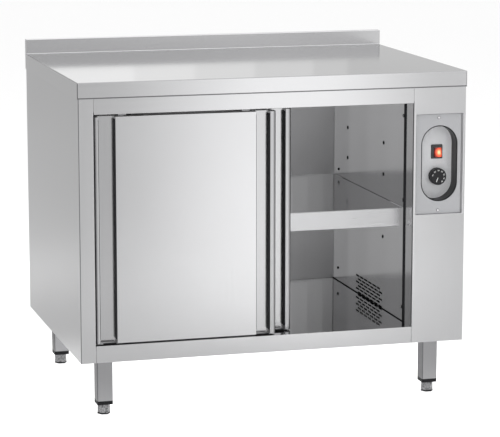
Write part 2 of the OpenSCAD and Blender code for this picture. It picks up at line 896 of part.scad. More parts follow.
// Tubular heater: an open ring round the fan wheel with two straight ends
module heater_element() {
    ring_r = 47.5;
    tube_d = 6.5;
    ring_x = service_x + 40;
    opening = 29;
    end_y = ring_r * sin(opening / 2);
    end_z = ring_r * cos(opening / 2);
    color("sienna") {
        translate([ring_x, fan_y, fan_z])
            rotate([0, 90, 0])
                rotate([0, 0, opening / 2])
                    rotate_extrude(angle = 360 - opening, $fn = 96)
                        translate([ring_r, 0]) circle(d = tube_d, $fn = 24);
        for (s = [-1, 1]) {
            translate([ring_x, fan_y + s * end_y, fan_z - end_z]) sphere(d = tube_d, $fn = 24);
            pin_x(tube_d, fan_y + s * end_y, fan_z - end_z, ring_x, motor_x + 20);
        }
    }
}

// Terminal block on the base panel with a row of screw wells
module terminal_block() {
    ways = 5;
    pitch = 12;
    base_z = body_bottom_z + sheet;
    block_x = gland_x + 32;
    block_y = 60;
    color("ivory")
        difference() {
            span([block_x - 10, block_y, base_z], [block_x + 10, block_y + ways * pitch, base_z + 18]);
            for (i = [0 : ways - 1], s = [-1, 1])
                translate([block_x + s * 5, block_y + (i + 0.5) * pitch, base_z + 8])
                    cylinder(d = 5, h = 12, $fn = 24);
        }
}

// Thermostat's sensing bulb on the chamber wall and its thin capillary tube
module sensor_bulb() {
    bulb_d = 6;
    bulb_x = service_x + bulb_d / 2;
    bulb_z = 300;
    tube_d = 2;
    route = [
        [bulb_x, 120, bulb_z], [bulb_x, 140, bulb_z], [bulb_x + 60, 140, bulb_z + 100],
        [controls_x, -140, 500], [controls_x, -250, 540],
        [controls_x, tray_floor_y + tray_t + 30, knob_z]
    ];
    color("peru") {
        translate([bulb_x, 40, bulb_z]) rotate([-90, 0, 0]) cylinder(d = bulb_d, h = 81, $fn = smooth);
        for (i = [0 : len(route) - 2]) {
            step = route[i + 1] - route[i];
            long = norm(step);
            translate(route[i])
                rotate([0, acos(step[2] / long), atan2(step[1], step[0])]) {
                    cylinder(d = tube_d, h = long, $fn = 16);
                    sphere(d = tube_d + 0.4, $fn = 16);
                }
        }
    }
}

// Cable gland through the base panel: body, dome nut and locknut
module cable_gland() {
    bore_d = 10;
    thread_d = 20;
    top_z = body_bottom_z + sheet;
    color("black")
        translate([gland_x, gland_y, 0])
            difference() {
                union() {
                    translate([0, 0, body_bottom_z - 6]) cylinder(d = 27, h = 6, $fn = 6);
                    translate([0, 0, body_bottom_z - 20]) cylinder(d = 22, h = 14, $fn = smooth);
                    translate([0, 0, body_bottom_z]) cylinder(d = thread_d, h = 10, $fn = smooth);
                    translate([0, 0, top_z]) cylinder(d = 27, h = 5, $fn = 6);
                }
                translate([0, 0, body_bottom_z - 21]) cylinder(d = bore_d, h = 40, $fn = smooth);
            }
}

// Four square leg tubes, each with a plate welded on inside the base
module legs() {
    top_z = body_bottom_z + sheet;
    color(stainless)
        for (sx = [-1, 1], sy = [-1, 1])
            translate([sx * leg_x, sy * leg_y, 0]) {
                difference() {
                    span([-leg_w / 2, -leg_w / 2, leg_bottom_z], [leg_w / 2, leg_w / 2, top_z]);
                    span([-leg_w / 2 + leg_t, -leg_w / 2 + leg_t, leg_bottom_z - 1],
                        [leg_w / 2 - leg_t, leg_w / 2 - leg_t, top_z + 1]);
                }
                translate([0, 0, top_z + leg_plate_t / 2])
                    cube([leg_plate_w, leg_plate_w, leg_plate_t], center = true);
            }
}

// Plastic plugs in the leg tubes, bored for the feet's stems
module leg_plugs() {
    spigot_h = 22;
    spigot_w = leg_w - 2 * leg_t;
    bore_d = stem_d + 2 * running_gap;
    color("black")
        for (sx = [-1, 1], sy = [-1, 1])
            translate([sx * leg_x, sy * leg_y, 0])
                difference() {
                    union() {
                        span([-leg_w / 2, -leg_w / 2, leg_bottom_z - plug_h],
                            [leg_w / 2, leg_w / 2, leg_bottom_z]);
                        span([-spigot_w / 2, -spigot_w / 2, leg_bottom_z],
                            [spigot_w / 2, spigot_w / 2, leg_bottom_z + spigot_h]);
                    }
                    translate([0, 0, leg_bottom_z - plug_h - 1])
                        cylinder(d = bore_d, h = spigot_h + plug_h + 2, $fn = smooth);
                }
}

// Levelling foot: threaded stem and a six-sided foot with a rim at the floor
module foot(sx, sy) {
    rim_h = 5;
    turn = 10;
    color(black)
        translate([sx * leg_x, sy * leg_y, 0])
            rotate([0, 0, turn]) {
                cylinder(d = foot_w, h = rim_h, $fn = 6);
                translate([0, 0, rim_h]) cylinder(d = foot_w - 2.4, h = foot_top_z - rim_h, $fn = 6);
                translate([0, 0, foot_top_z]) cylinder(d = stem_d, h = stem_l, $fn = smooth);
            }
}

module front_door_skin() { door_skin(front_door_x, 0); }
module front_door_liner() { door_liner(front_door_x, 0); }
module front_door_core() { door_core(front_door_x, 0); }
module front_door_grips() { door_grips(front_door_x, 0); }
module front_door_hangers() { door_hangers(front_door_x, 0); }
module front_door_guides() { door_guides(front_door_x, 0); }
module front_door_left_roller() { door_roller(front_door_x, 0, hanger_us[0]); }
module front_door_right_roller() { door_roller(front_door_x, 0, hanger_us[1]); }

module rear_door_skin() { door_skin(rear_door_x, door_step); }
module rear_door_liner() { door_liner(rear_door_x, door_step); }
module rear_door_core() { door_core(rear_door_x, door_step); }
module rear_door_grips() { door_grips(rear_door_x, door_step); }
module rear_door_hangers() { door_hangers(rear_door_x, door_step); }
module rear_door_guides() { door_guides(rear_door_x, door_step); }
module rear_door_left_roller() { door_roller(rear_door_x, door_step, hanger_us[0]); }
module rear_door_right_roller() { door_roller(rear_door_x, door_step, hanger_us[1]); }

module front_left_foot() { foot(-1, -1); }
module front_right_foot() { foot(1, -1); }
module rear_left_foot() { foot(-1, 1); }
module rear_right_foot() { foot(1, 1); }

worktop();
worktop_board();
left_side_panel();
right_side_panel();
control_column();
rear_panel();
base_panel();
top_front_rail();
bottom_front_rail();
inner_left_wall();
inner_right_wall();
inner_back_wall();
inner_ceiling();
chamber_floor();
insulation();
jamb_bumpers();
shelf();
shelf_brackets();
wall_rivets();
door_track();
track_stop();
floor_guide();
front_door_skin();
front_door_liner();
front_door_core();
front_door_grips();
front_door_hangers();
front_door_guides();
front_door_left_roller();
front_door_right_roller();
rear_door_skin();
rear_door_liner();
rear_door_core();
rear_door_grips();
rear_door_hangers();
rear_door_guides();
rear_door_left_roller();
rear_door_right_roller();
control_plate();
control_tray();
tray_gasket();
plate_screws();
switch_housing();
switch_rocker();
thermostat_body();
thermostat_shaft();
control_knob();
fan_housing();
fan_motor();
fan_impeller();
heater_element();
terminal_block();
sensor_bulb();
cable_gland();
legs();
leg_plugs();
front_left_foot();
front_right_foot();
rear_left_foot();
rear_right_foot();
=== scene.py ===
import math

import bmesh
import bpy
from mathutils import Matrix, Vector


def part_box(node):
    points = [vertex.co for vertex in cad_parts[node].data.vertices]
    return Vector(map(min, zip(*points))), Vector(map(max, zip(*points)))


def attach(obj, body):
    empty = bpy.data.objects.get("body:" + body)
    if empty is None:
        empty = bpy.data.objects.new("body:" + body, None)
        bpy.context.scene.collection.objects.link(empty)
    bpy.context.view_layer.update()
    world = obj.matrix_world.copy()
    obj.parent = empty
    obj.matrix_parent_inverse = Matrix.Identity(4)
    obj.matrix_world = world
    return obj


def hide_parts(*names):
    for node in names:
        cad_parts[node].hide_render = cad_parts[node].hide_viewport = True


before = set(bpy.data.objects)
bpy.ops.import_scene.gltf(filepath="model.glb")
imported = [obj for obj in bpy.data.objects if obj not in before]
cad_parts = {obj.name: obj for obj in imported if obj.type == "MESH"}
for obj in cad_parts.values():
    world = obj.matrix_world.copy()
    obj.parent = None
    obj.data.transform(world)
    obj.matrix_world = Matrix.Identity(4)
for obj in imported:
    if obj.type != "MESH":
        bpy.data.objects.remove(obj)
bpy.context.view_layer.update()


# Studio: camera at the photograph's angle, a plain white floor and a white room. Stacks
# of soft panels, their ends stepped so that the glow fades out sideways, stand in front,
# behind, low on the left and in the chamber, and one under the base lifts its shadow.
camera_data = bpy.data.cameras.new("camera")
camera_data.lens = 167.46
camera_data.sensor_width = 36
camera = bpy.data.objects.new("camera", camera_data)
camera.location = (-1.5974, -5.8155, 1.4965)
camera.rotation_euler = (math.radians(90 - 10.066), 0, math.radians(-15.631))
bpy.context.scene.collection.objects.link(camera)
bpy.context.scene.camera = camera
bpy.context.scene.view_settings.view_transform = "Standard"

room = bpy.data.worlds.new("white room")
room.use_nodes = True
room.node_tree.nodes["Background"].inputs["Color"].default_value = (1, 1, 1, 1)
room.node_tree.nodes["Background"].inputs["Strength"].default_value = 1.0
bpy.context.scene.world = room


def soft_light(name, place, aim, width, height, power, spread=180):
    """Adds an area light at a place, turned to the point it aims at."""
    light = bpy.data.lights.new(name, "AREA")
    light.shape = "RECTANGLE"
    light.size = width
    light.size_y = height
    light.energy = power
    light.spread = math.radians(spread)
    lamp = bpy.data.objects.new(name, light)
    lamp.location = place
    lamp.rotation_euler = (Vector(aim) - Vector(place)).to_track_quat("-Z", "Y").to_euler()
    lamp.visible_camera = False
    bpy.context.scene.collection.objects.link(lamp)


PANEL_STEP = 0.02
for step, width in enumerate((0.42, 0.68, 0.9, 1.1)):
    panel_y = -2.35 - PANEL_STEP * step
    soft_light("front light", (0.65, panel_y, 0.475), (0.65, 0, 0.475), width, 0.95, 0.84 * width)
soft_light("high front light", (0.7, -3.0, 1.3), (0.7, 0, 1.3), 2.6, 0.5, 3.5)
soft_light("floor light", (0.3, -1.3, 1.0), (0.3, -1.3, 0), 0.3, 0.3, 0.8, 60)
soft_light("floor light", (0.45, -1.95, 0.9), (0.45, -1.95, 0), 0.5, 0.3, 1.6, 70)
soft_light("far right light", (1.72, -3.0, 0.5), (1.72, 0, 0.5), 0.4, 0.45, 0.34)
chamber_left = 0.456
for name, middle_z, height in (("upper", 0.632, 0.292), ("lower", 0.312, 0.246)):
    for step, right_end in enumerate((0.356, 0.32, 0.27, 0.22)):
        width, panel_y = right_end + chamber_left, 0.3055 - PANEL_STEP * step
        place = ((right_end - chamber_left) / 2, panel_y, middle_z)
        power = (0.36, 0.16, 0.16, 0.16)[step] * width * height
        soft_light(name + " chamber light", place, (place[0], -1, middle_z), width, height, power)
soft_light("high right light", (1.5, -3.02, 1.3), (1.5, 0, 1.3), 1.2, 0.5, 0.5)
soft_light("light under the base", (0, 0, 0.142), (0, 0, 0), 1.3, 1.0, 5.5)
soft_light("overhead light", (0, 0, 4), (0, 0, 0), 6, 6, 42)
for step, right_end in enumerate((0.4, 0.65, 0.9, 1.15, 1.3)):
    middle_x, panel_y = (right_end - 1) / 2, 3.0 + PANEL_STEP * step
    place, aim, width = (middle_x, panel_y, 1.25), (middle_x, 0, 1.25), right_end + 1
    soft_light("rear light", place, aim, width, 0.9, 0.36 * width)
soft_light("side light", (-0.85, 2.7, 0.18), (0, 2.7, 0.18), 1.0, 0.35, 0.15)
soft_light("side floor light", (-0.62, 1.6, 1.0), (-0.62, 1.6, 0), 0.4, 0.5, 1.0, 90)

bpy.ops.object.select_all(action="DESELECT")
bpy.ops.mesh.primitive_plane_add(size=30)
floor = bpy.context.object
floor.name = "studio_floor"
paper = bpy.data.materials.new("floor paper")
paper.use_nodes = True
paper_shader = paper.node_tree.nodes["Principled BSDF"]
paper_shader.inputs["Base Color"].default_value = (0.97, 0.97, 0.97, 1)
paper_shader.inputs["Roughness"].default_value = 0.9
floor.data.materials.append(paper)


# Worktop: one sheet of satin stainless steel over a board, folded down on all four
# sides and up at the rear into a hollow upstand. Its corners are welded and ground.
# Its lower front edge and the rounds of its front and left folds are painted dark as
# painted shade, and the rounds along the upstand's front are painted light as a painted highlight.
def start_box(name, low, high):
    """Adds a cube with these corners and opens it in edit mode, with nothing picked."""
    bpy.ops.object.select_all(action="DESELECT")
    bpy.ops.mesh.primitive_cube_add(size=1, location=(Vector(low) + Vector(high)) / 2)
    piece = bpy.context.object
    piece.name = piece.data.name = name
    piece.scale = Vector(high) - Vector(low)
    bpy.ops.object.transform_apply(location=True, rotation=True, scale=True)
    bpy.ops.object.mode_set(mode="EDIT")
    bpy.ops.mesh.select_all(action="DESELECT")
    return piece


def pick_faces(piece, where):
    """Picks the faces whose middle and normal pass a test."""
    bpy.ops.mesh.select_mode(type="FACE")
    bpy.ops.mesh.select_all(action="DESELECT")
    shape = bmesh.from_edit_mesh(piece.data)
    for face in shape.faces:
        if where(face.calc_center_median(), face.normal):
            face.select_set(True)
    bmesh.update_edit_mesh(piece.data)


def pick_edges(piece, where):
    """Picks the edges whose middle, direction and fold angle pass a test."""
    bpy.ops.mesh.select_mode(type="EDGE")
    bpy.ops.mesh.select_all(action="DESELECT")
    shape = bmesh.from_edit_mesh(piece.data)
    for edge in shape.edges:
        a, b = edge.verts[0].co, edge.verts[1].co
        fold = math.degrees(edge.calc_face_angle(0)) if edge.is_manifold else 0
        if where((a + b) / 2, (b - a).normalized(), fold):
            edge.select_set(True)
    bmesh.update_edit_mesh(piece.data)


def cut(axis, at, only_picked=False):
    """Cuts the open piece, or only its picked faces, in two at a place along an axis."""
    if not only_picked:
        bpy.ops.mesh.select_all(action="SELECT")
    normal = Vector((axis == "x", axis == "y", axis == "z"))
    bpy.ops.mesh.bisect(plane_co=normal * at, plane_no=normal)


def round_folds(piece, radius, steps=3, least=30):
    """Rounds every edge that is folded by more than the least angle."""
    pick_edges(piece, lambda middle, along, fold: fold > least)
    bpy.ops.mesh.bevel(offset=radius, segments=steps, affect="EDGES", clamp_overlap=True)


def drop():
    """Deletes the picked faces."""
    bpy.ops.mesh.delete(type="FACE")


def shade(piece, smooth=35):
    """Shades the rounded edges smooth and keeps the flat faces flat."""
    bpy.ops.mesh.customdata_custom_splitnormals_clear()
    bpy.ops.object.shade_smooth_by_angle(angle=math.radians(smooth))
    flats = piece.modifiers.new("flats", "WEIGHTED_NORMAL")
    flats.keep_sharp = True
    flats.weight = 100
    bpy.ops.object.modifier_apply(modifier=flats.name)


def close_piece(piece, sheet=None, smooth=35):
    """Leaves edit mode, gives an open sheet its thickness inwards and shades it."""
    bpy.ops.object.mode_set(mode="OBJECT")
    if sheet:
        wall = piece.modifiers.new("sheet", "SOLIDIFY")
        wall.thickness = sheet
        wall.offset = -1
        wall.use_even_offset = True
        bpy.ops.object.modifier_apply(modifier=wall.name)
    shade(piece, smooth)


def fit(piece, body, node, slot, finish, *others):
    """Gives a piece its finish, and each other finish to the faces that pass its test,
    and lets the piece stand for a CAD node on a body."""
    piece.data.materials.clear()
    piece.data.materials.append(finish)
    for number, (other, where) in enumerate(others, 1):
        piece.data.materials.append(other)
        for face in piece.data.polygons:
            if where(face.center, face.normal):
                face.material_index = number
    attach(piece, body)
    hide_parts(node)


def start_finish(name):
    """Adds a material, and gives it back with its nodes, links, shader and place."""
    finish = bpy.data.materials.new(name)
    finish.use_nodes = True
    nodes = finish.node_tree.nodes
    place = nodes.new("ShaderNodeTexCoord").outputs["Object"]
    return finish, nodes, finish.node_tree.links, nodes["Principled BSDF"], place


def add_noise(nodes, links, place, scale, detail=2, roughness=0.5):
    """Adds a noise pattern on a place and gives its value."""
    noise = nodes.new("ShaderNodeTexNoise")
    noise.inputs["Scale"].default_value = scale
    noise.inputs["Detail"].default_value = detail
    noise.inputs["Roughness"].default_value = roughness
    links.new(place, noise.inputs["Vector"])
    return noise.outputs["Fac"]


def add_range(nodes, links, value, side, least, most):
    """Maps a value from, or to, the range between two limits and gives the result."""
    spread = nodes.new("ShaderNodeMapRange")
    spread.inputs[side + " Min"].default_value = least
    spread.inputs[side + " Max"].default_value = most
    links.new(value, spread.inputs["Value"])
    return spread.outputs["Result"]


def add_shades(nodes, links, value, tint, darker, lighter):
    """Blends from a darker to a lighter shade of a colour and gives the result."""
    shades = nodes.new("ShaderNodeMix")
    shades.data_type = "RGBA"
    shades.inputs["A"].default_value = [c * darker for c in tint] + [1]
    shades.inputs["B"].default_value = [min(c * lighter, 1) for c in tint] + [1]
    links.new(value, shades.inputs["Factor"])
    return shades.outputs["Result"]


def add_relief(nodes, links, height, shader, strength):
    """Lets a pattern raise the surface by up to 0.2 mm."""
    relief = nodes.new("ShaderNodeBump")
    relief.inputs["Strength"].default_value = strength
    relief.inputs["Distance"].default_value = 0.0002
    links.new(height, relief.inputs["Height"])
    links.new(relief.outputs["Normal"], shader.inputs["Normal"])


def brushed_steel(name, tint, roughness, grain, depth=0.06, cloud=0.06, edge=0.68):
    """Stainless sheet: fine scratches drawn out along one axis over faint cloudy marks."""
    steel, nodes, links, shader, place = start_finish(name)
    shader.inputs["Metallic"].default_value = 1
    shader.inputs["Specular Tint"].default_value = (edge, edge, edge, 1)
    stretch = nodes.new("ShaderNodeMapping")
    stretch.inputs["Scale"].default_value = [5 if axis == grain else 260 for axis in "xyz"]
    links.new(place, stretch.inputs["Vector"])
    scratches = add_noise(nodes, links, stretch.outputs["Vector"], 1, 6, 0.7)
    clouds = add_noise(nodes, links, place, 3.5, 3)

    shade = add_range(nodes, links, scratches, "From", 0.3, 0.7)
    cloudy = nodes.new("ShaderNodeMix")
    cloudy.data_type = "RGBA"
    cloudy.blend_type = "MULTIPLY"
    cloudy.inputs["Factor"].default_value = cloud
    links.new(add_shades(nodes, links, shade, tint, 0.98, 1.02), cloudy.inputs["A"])
    links.new(clouds, cloudy.inputs["B"])
    links.new(cloudy.outputs["Result"], shader.inputs["Base Color"])
    polish = add_range(nodes, links, scratches, "To", roughness - 0.05, roughness + 0.05)
    links.new(polish, shader.inputs["Roughness"])
    add_relief(nodes, links, scratches, shader, depth)
    return steel


def is_fold(normal):
    """Says whether a face belongs to the round of an upright fold."""
    return abs(normal.z) < 0.1 and 0.2 < abs(normal.x) < 0.98


SHEET = 0.0012
steel_across = brushed_steel("satin steel across", (0.43, 0.43, 0.436), 0.17, "x")
top_low, top_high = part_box("worktop")
work_z = 0.84
upstand_y = 0.335
worktop = start_box("worktop_sheet", top_low, (top_high.x, top_high.y, work_z))
cut("y", upstand_y)
pick_faces(worktop, lambda middle, normal: normal.z > 0.9 and middle.y > upstand_y)
bpy.ops.mesh.extrude_region_move(TRANSFORM_OT_translate={"value": (0, 0, top_high.z - work_z)})
edge_z = top_low.z + 0.003
cut("z", edge_z)
pick_faces(worktop, lambda middle, normal: normal.z < -0.9)
drop()
round_folds(worktop, 0.0018)
close_piece(worktop, SHEET)
steel_top = brushed_steel("satin worktop steel", (0.4, 0.4, 0.406), 0.1, "x", 0.04)
# A dark copy of the steel for painted shade and a light copy for painted highlight, put on fold
# rounds and edges.
painted_shade_steel = brushed_steel("steel darkened with painted shade", (0.13, 0.13, 0.134), 0.34, "z")
painted_highlight_steel = brushed_steel("steel lightened with painted highlight", (0.7, 0.7, 0.71), 0.3, "x")
# Painted shade on the lower front edge and the front and left fold rounds; painted highlight on the
# upstand's front rounds.
fit(
    worktop,
    "root",
    "worktop",
    "stainless",
    steel_across,
    (steel_top, lambda middle, normal: normal.z > 0.9),
    (painted_shade_steel, lambda middle, normal: middle.z < edge_z and normal.y < -0.9),
    (painted_shade_steel, lambda middle, normal: is_fold(normal) and middle.z < work_z and middle.y < 0),
    (
        painted_shade_steel,
        lambda middle, normal: normal.x < -0.3 and normal.z > 0.3 and middle.z < work_z + 0.001,
    ),
    (
        painted_highlight_steel,
        lambda middle, normal: normal.y < -0.2 and normal.z > 0.2 and middle.y > upstand_y - 0.01,
    ),
)


# Left side: one satin sheet folded round the front corner into the stile and back
# again beside the opening, where the doors slide past it.
steel_upright = brushed_steel("satin steel upright", (0.43, 0.43, 0.436), 0.2, "z")
side_low, side_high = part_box("left_side_panel")
jamb_back_y = -0.287
jamb_low_z = 0.1868
jamb_high_z = 0.7675
left_side = start_box("left_side_sheet", side_low, side_high)
for height in (jamb_low_z, jamb_high_z):
    cut("z", height)
cut("y", jamb_back_y)
pick_faces(
    left_side,
    lambda middle, normal: abs(normal.z) > 0.9
    or normal.y > 0.9
    or normal.x > 0.9
    and (middle.y > jamb_back_y or not jamb_low_z < middle.z < jamb_high_z),
)
drop()
round_folds(left_side, 0.0026, 4)
close_piece(left_side, SHEET)
# Painted shade: the round of the front corner fold is given the dark steel.
fit(
    left_side,
    "root",
    "left_side_panel",
    "stainless",
    steel_upright,
    (painted_shade_steel, lambda middle, normal: is_fold(normal) and middle.x < side_low.x + 0.01),
)


# Right side: a flat satin sheet, its front edge covered by the control column, and
# the rear sheet between the two sides. Both are cut plain with deburred edges.
def plain_sheet(name, low, high, edge=0.0004):
    """Adds a flat sheet with deburred edges and leaves edit mode."""
    piece = start_box(name, low, high)
    round_folds(piece, edge, 2)
    close_piece(piece)
    return piece


right_low, right_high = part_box("right_side_panel")
right_face_low = (right_high.x - SHEET, right_low.y, right_low.z)
right_side = plain_sheet("right_side_sheet", right_face_low, right_high)
fit(right_side, "root", "right_side_panel", "stainless", steel_upright)
rear_sheet = plain_sheet("rear_sheet", *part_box("rear_panel"))
fit(rear_sheet, "root", "rear_panel", "stainless", steel_upright)


# Control column: satin sheet with a shallow well pressed in for the control plate,
# open behind it, and folded back beside the opening like the left side. The right side
# wall of the well slopes.
column_low, column_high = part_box("control_column")
plate_low, plate_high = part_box("control_plate")
WELL_GAP = 0.0004
WELL_DRAFT = 0.0035
well_low_x, well_high_x = plate_low.x - WELL_GAP, plate_high.x + WELL_GAP + WELL_DRAFT
well_low_z, well_high_z = plate_low.z - WELL_GAP, plate_high.z + WELL_GAP
seat_x = (plate_low.x + 0.006, plate_high.x - 0.006)
seat_z = (plate_low.z + 0.014, plate_high.z - 0.014)
fold_back_y = column_low.y + 0.007
column = start_box("control_column_sheet", column_low, (column_high.x, jamb_back_y, column_high.z))
for height in (jamb_low_z, jamb_high_z, well_low_z, well_high_z):
    cut("z", height)
cut("y", fold_back_y)
for across in (well_low_x, well_high_x):
    cut("x", across)
pick_faces(
    column,
    lambda middle, normal: abs(normal.z) > 0.9
    or normal.y > 0.9
    or normal.x > 0.9
    or normal.x < -0.9
    and not jamb_low_z < middle.z < jamb_high_z,
)
drop()


def in_well(middle):
    """Says whether a point lies inside the outline of the well."""
    return well_low_x < middle.x < well_high_x and well_low_z < middle.z < well_high_z


pick_faces(column, lambda middle, normal: normal.y < -0.9 and in_well(middle))
well_depth = plate_high.y - column_low.y
bpy.ops.mesh.extrude_region_move(TRANSFORM_OT_translate={"value": (0, well_depth, 0)})
pick_edges(
    column,
    lambda middle, along, fold: abs(middle.x - well_high_x) < 0.0001
    and middle.y > column_low.y + 0.004
    and abs(along.z) > 0.9
    and middle.y < plate_high.y + 0.001,
)
bpy.ops.transform.translate(value=(-WELL_DRAFT, 0, 0))
for axis, places in (("x", seat_x), ("z", seat_z)):
    for at in places:
        pick_faces(column, lambda middle, normal: normal.y < -0.9 and in_well(middle))
        cut(axis, at, only_picked=True)
pick_faces(
    column,
    lambda middle, normal: normal.y < -0.9
    and seat_x[0] < middle.x < seat_x[1]
    and seat_z[0] < middle.z < seat_z[1],
)
drop()
round_folds(column, 0.0016)
close_piece(column, SHEET)
painted_shade_fold_steel = brushed_steel("folded steel dimmed with painted shade", (0.3, 0.3, 0.305), 0.34, "z")
painted_light_well_steel = brushed_steel("well side steel lightened with painted light", (0.52, 0.52, 0.526), 0.34, "z")
painted_light_wall_steel = brushed_steel("wall steel brightened with painted light", (0.8, 0.8, 0.81), 0.14, "z", 0.03, 0.04, 1)
# Painted light on the well's sloping side, the jamb face and the round along the well's lower edge;
# painted shade on the front strip of the column's left face.
fit(
    column,
    "root",
    "control_column",
    "stainless",
    steel_upright,
    (painted_light_well_steel, lambda middle, normal: normal.x < -0.2 and abs(middle.x - well_high_x) < 0.006),
    (painted_highlight_steel, lambda middle, normal: normal.z > 0.3 and abs(middle.z - well_low_z) < 0.003),
    (painted_light_wall_steel, lambda middle, normal: normal.x < -0.9 and middle.x < column_low.x + 0.0001),
    (
        painted_shade_fold_steel,
        lambda middle, normal: normal.x < -0.7
        and middle.x < column_low.x + 0.001
        and middle.y < fold_back_y,
    ),
)


# Rails over and under the opening: satin strips, the upper one with a short hem
# folded back under it, the lower one with deburred edges.
rail_low, rail_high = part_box("top_front_rail")
hem = 0.009
seam = 0.0006
top_rail = start_box(
    "top_rail_strip",
    (rail_low.x + seam, rail_low.y, rail_low.z),
    (rail_high.x - seam, rail_low.y + hem, rail_high.z),
)
pick_faces(top_rail, lambda middle, normal: abs(normal.x) > 0.9 or normal.y > 0.9 or normal.z > 0.9)
drop()
round_folds(top_rail, 0.0016)
close_piece(top_rail, SHEET)
fit(top_rail, "root", "top_front_rail", "stainless", steel_across)
low_rail_low, low_rail_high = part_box("bottom_front_rail")
low_rail = plain_sheet(
    "bottom_rail_strip",
    (low_rail_low.x + seam, low_rail_low.y, low_rail_low.z),
    (low_rail_high.x - seam, low_rail_low.y + SHEET, low_rail_high.z),
)
fit(low_rail, "root", "bottom_front_rail", "stainless", steel_across)


# Sliding doors: each front is one bright satin sheet folded round two upright hand
# channels with a closed foot, with rounded outer edges, and a flat sheet closes its back.
door_steel = brushed_steel("satin door steel", (0.43, 0.43, 0.436), 0.2, "z")
painted_shade_bead_steel = brushed_steel("bead steel darkened with painted shade", (0.3, 0.3, 0.305), 0.2, "z")
painted_shade_channel_steel = brushed_steel("channel floor steel darkened with painted shade", (0.355, 0.355, 0.36), 0.2, "z")
DOOR_SHEET = 0.001
CHANNEL_D = 0.0175
DOOR_CORNER = 0.0078
channels = ((0.0105, 0.0535), (0.409, 0.4445))


def door_front(door):
    """Models the folded front sheet of a door in place."""
    low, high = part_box(door + "_skin")
    spans = [(low.x + a, low.x + b) for a, b in channels]
    skin = start_box(door + "_folded_front", low, high)
    for span in spans:
        for across in span:
            cut("x", across)

    def in_channel(middle):
        return any(a < middle.x < b for a, b in spans)

    pick_faces(skin, lambda middle, normal: normal.y < -0.9 and in_channel(middle))
    bpy.ops.mesh.extrude_region_move(TRANSFORM_OT_translate={"value": (0, CHANNEL_D, 0)})
    pick_faces(
        skin,
        lambda middle, normal: normal.y > 0.9
        or in_channel(middle)
        and (normal.z < -0.9 or normal.z > 0.9 and middle.z > low.z + 0.1),
    )
    drop()
    pick_edges(
        skin,
        lambda middle, along, fold: fold > 30
        and abs(along.z) > 0.9
        and middle.y < low.y + 0.001
        and not low.x + 0.002 < middle.x < high.x - 0.002,
    )
    bpy.ops.mesh.bevel(offset=DOOR_CORNER, segments=6, affect="EDGES")
    round_folds(skin, 0.001, 3, 50)
    close_piece(skin, DOOR_SHEET)
    # Painted shade on the top cap, the outer corner rounds, the right bead and the channel floors;
    # painted highlight on the channel walls and the upward faces of the channel feet.
    fit(
        skin,
        door,
        door + "_skin",
        "door_steel",
        door_steel,
        (
            painted_shade_steel,
            lambda middle, normal: normal.z > 0.9
            and middle.z > high.z - 0.002
            or abs(normal.x) > 0.75
            and not low.x + DOOR_CORNER < middle.x < high.x - DOOR_CORNER,
        ),
        (
            painted_shade_bead_steel,
            lambda middle, normal: normal.y < -0.9
            and low.x + channels[1][1] < middle.x
            or 0.3 < abs(normal.x) < 0.75
            and not low.x + DOOR_CORNER < middle.x < high.x - DOOR_CORNER,
        ),
        (painted_shade_channel_steel, lambda middle, normal: normal.y < -0.9 and middle.y > low.y + 0.01),
        (
            painted_highlight_steel,
            lambda middle, normal: abs(normal.x) > 0.9
            and low.x + 0.009 < middle.x < high.x - 0.009
            or normal.z > 0.9
            and middle.z < low.z + 0.002,
        ),
    )


door_front("front_door")
door_front("rear_door")

door_back_steel = brushed_steel("plain door back steel", (0.5, 0.5, 0.51), 0.24, "z")
for door in ("front_door", "rear_door"):
    liner = plain_sheet(door + "_back_sheet", *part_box(door + "_liner"), 0.0003)
    fit(liner, door, door + "_liner", "door_steel", door_back_steel)


# Door grips: black rubber strips on both walls of every hand channel, cut with
# rounded corners and softened edges, and ending short of the channel's floor.
def matt_rubber(name, tint, roughness, dimple, size, shine=0.5):
    """Rubber or plastic with a fine pebbled surface and faint dusty patches."""
    rubber, nodes, links, shader, place = start_finish(name)
    shader.inputs["Specular IOR Level"].default_value = shine
    pebbles = add_noise(nodes, links, place, size, 3)
    dust = add_noise(nodes, links, place, 30, 4)
    links.new(add_shades(nodes, links, dust, tint, 0.75, 1.3), shader.inputs["Base Color"])
    polish = add_range(nodes, links, dust, "To", roughness - 0.08, roughness + 0.08)
    links.new(polish, shader.inputs["Roughness"])
    add_relief(nodes, links, pebbles, shader, dimple)
    return rubber


def stay_with(kept, *joined):
    """Joins finished pieces into the first one."""
    bpy.ops.object.select_all(action="DESELECT")
    for piece in (kept, *joined):
        piece.select_set(True)
    bpy.context.view_layer.objects.active = kept
    bpy.ops.object.join()
    return kept


black_rubber = matt_rubber("black grip rubber", (0.014, 0.014, 0.016), 0.6, 0.3, 900, 0.15)
grip_w = 0.002
grip_stations = (0.0105, 0.0515, 0.409, 0.4425)
for door in ("front_door", "rear_door"):
    door_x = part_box(door + "_skin")[0].x
    grip_low, grip_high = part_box(door + "_grips")
    strips = []
    for station in grip_stations:
        left = door_x + station
        front_y = grip_low.y + (0.005 if station in grip_stations[::2] else 0)
        back_y = grip_low.y + CHANNEL_D - 0.0015
        strip = start_box(
            f"{door}_grip_strips", (left, front_y, grip_low.z), (left + grip_w, back_y, grip_high.z)
        )
        pick_edges(strip, lambda middle, along, fold: abs(along.x) > 0.9)
        bpy.ops.mesh.bevel(offset=0.003, segments=5, affect="EDGES")
        round_folds(strip, 0.0005, 2, 60)
        close_piece(strip)
        strips.append(strip)
    grips = stay_with(*strips)
    fit(grips, door, door + "_grips", "black_rubber", black_rubber)


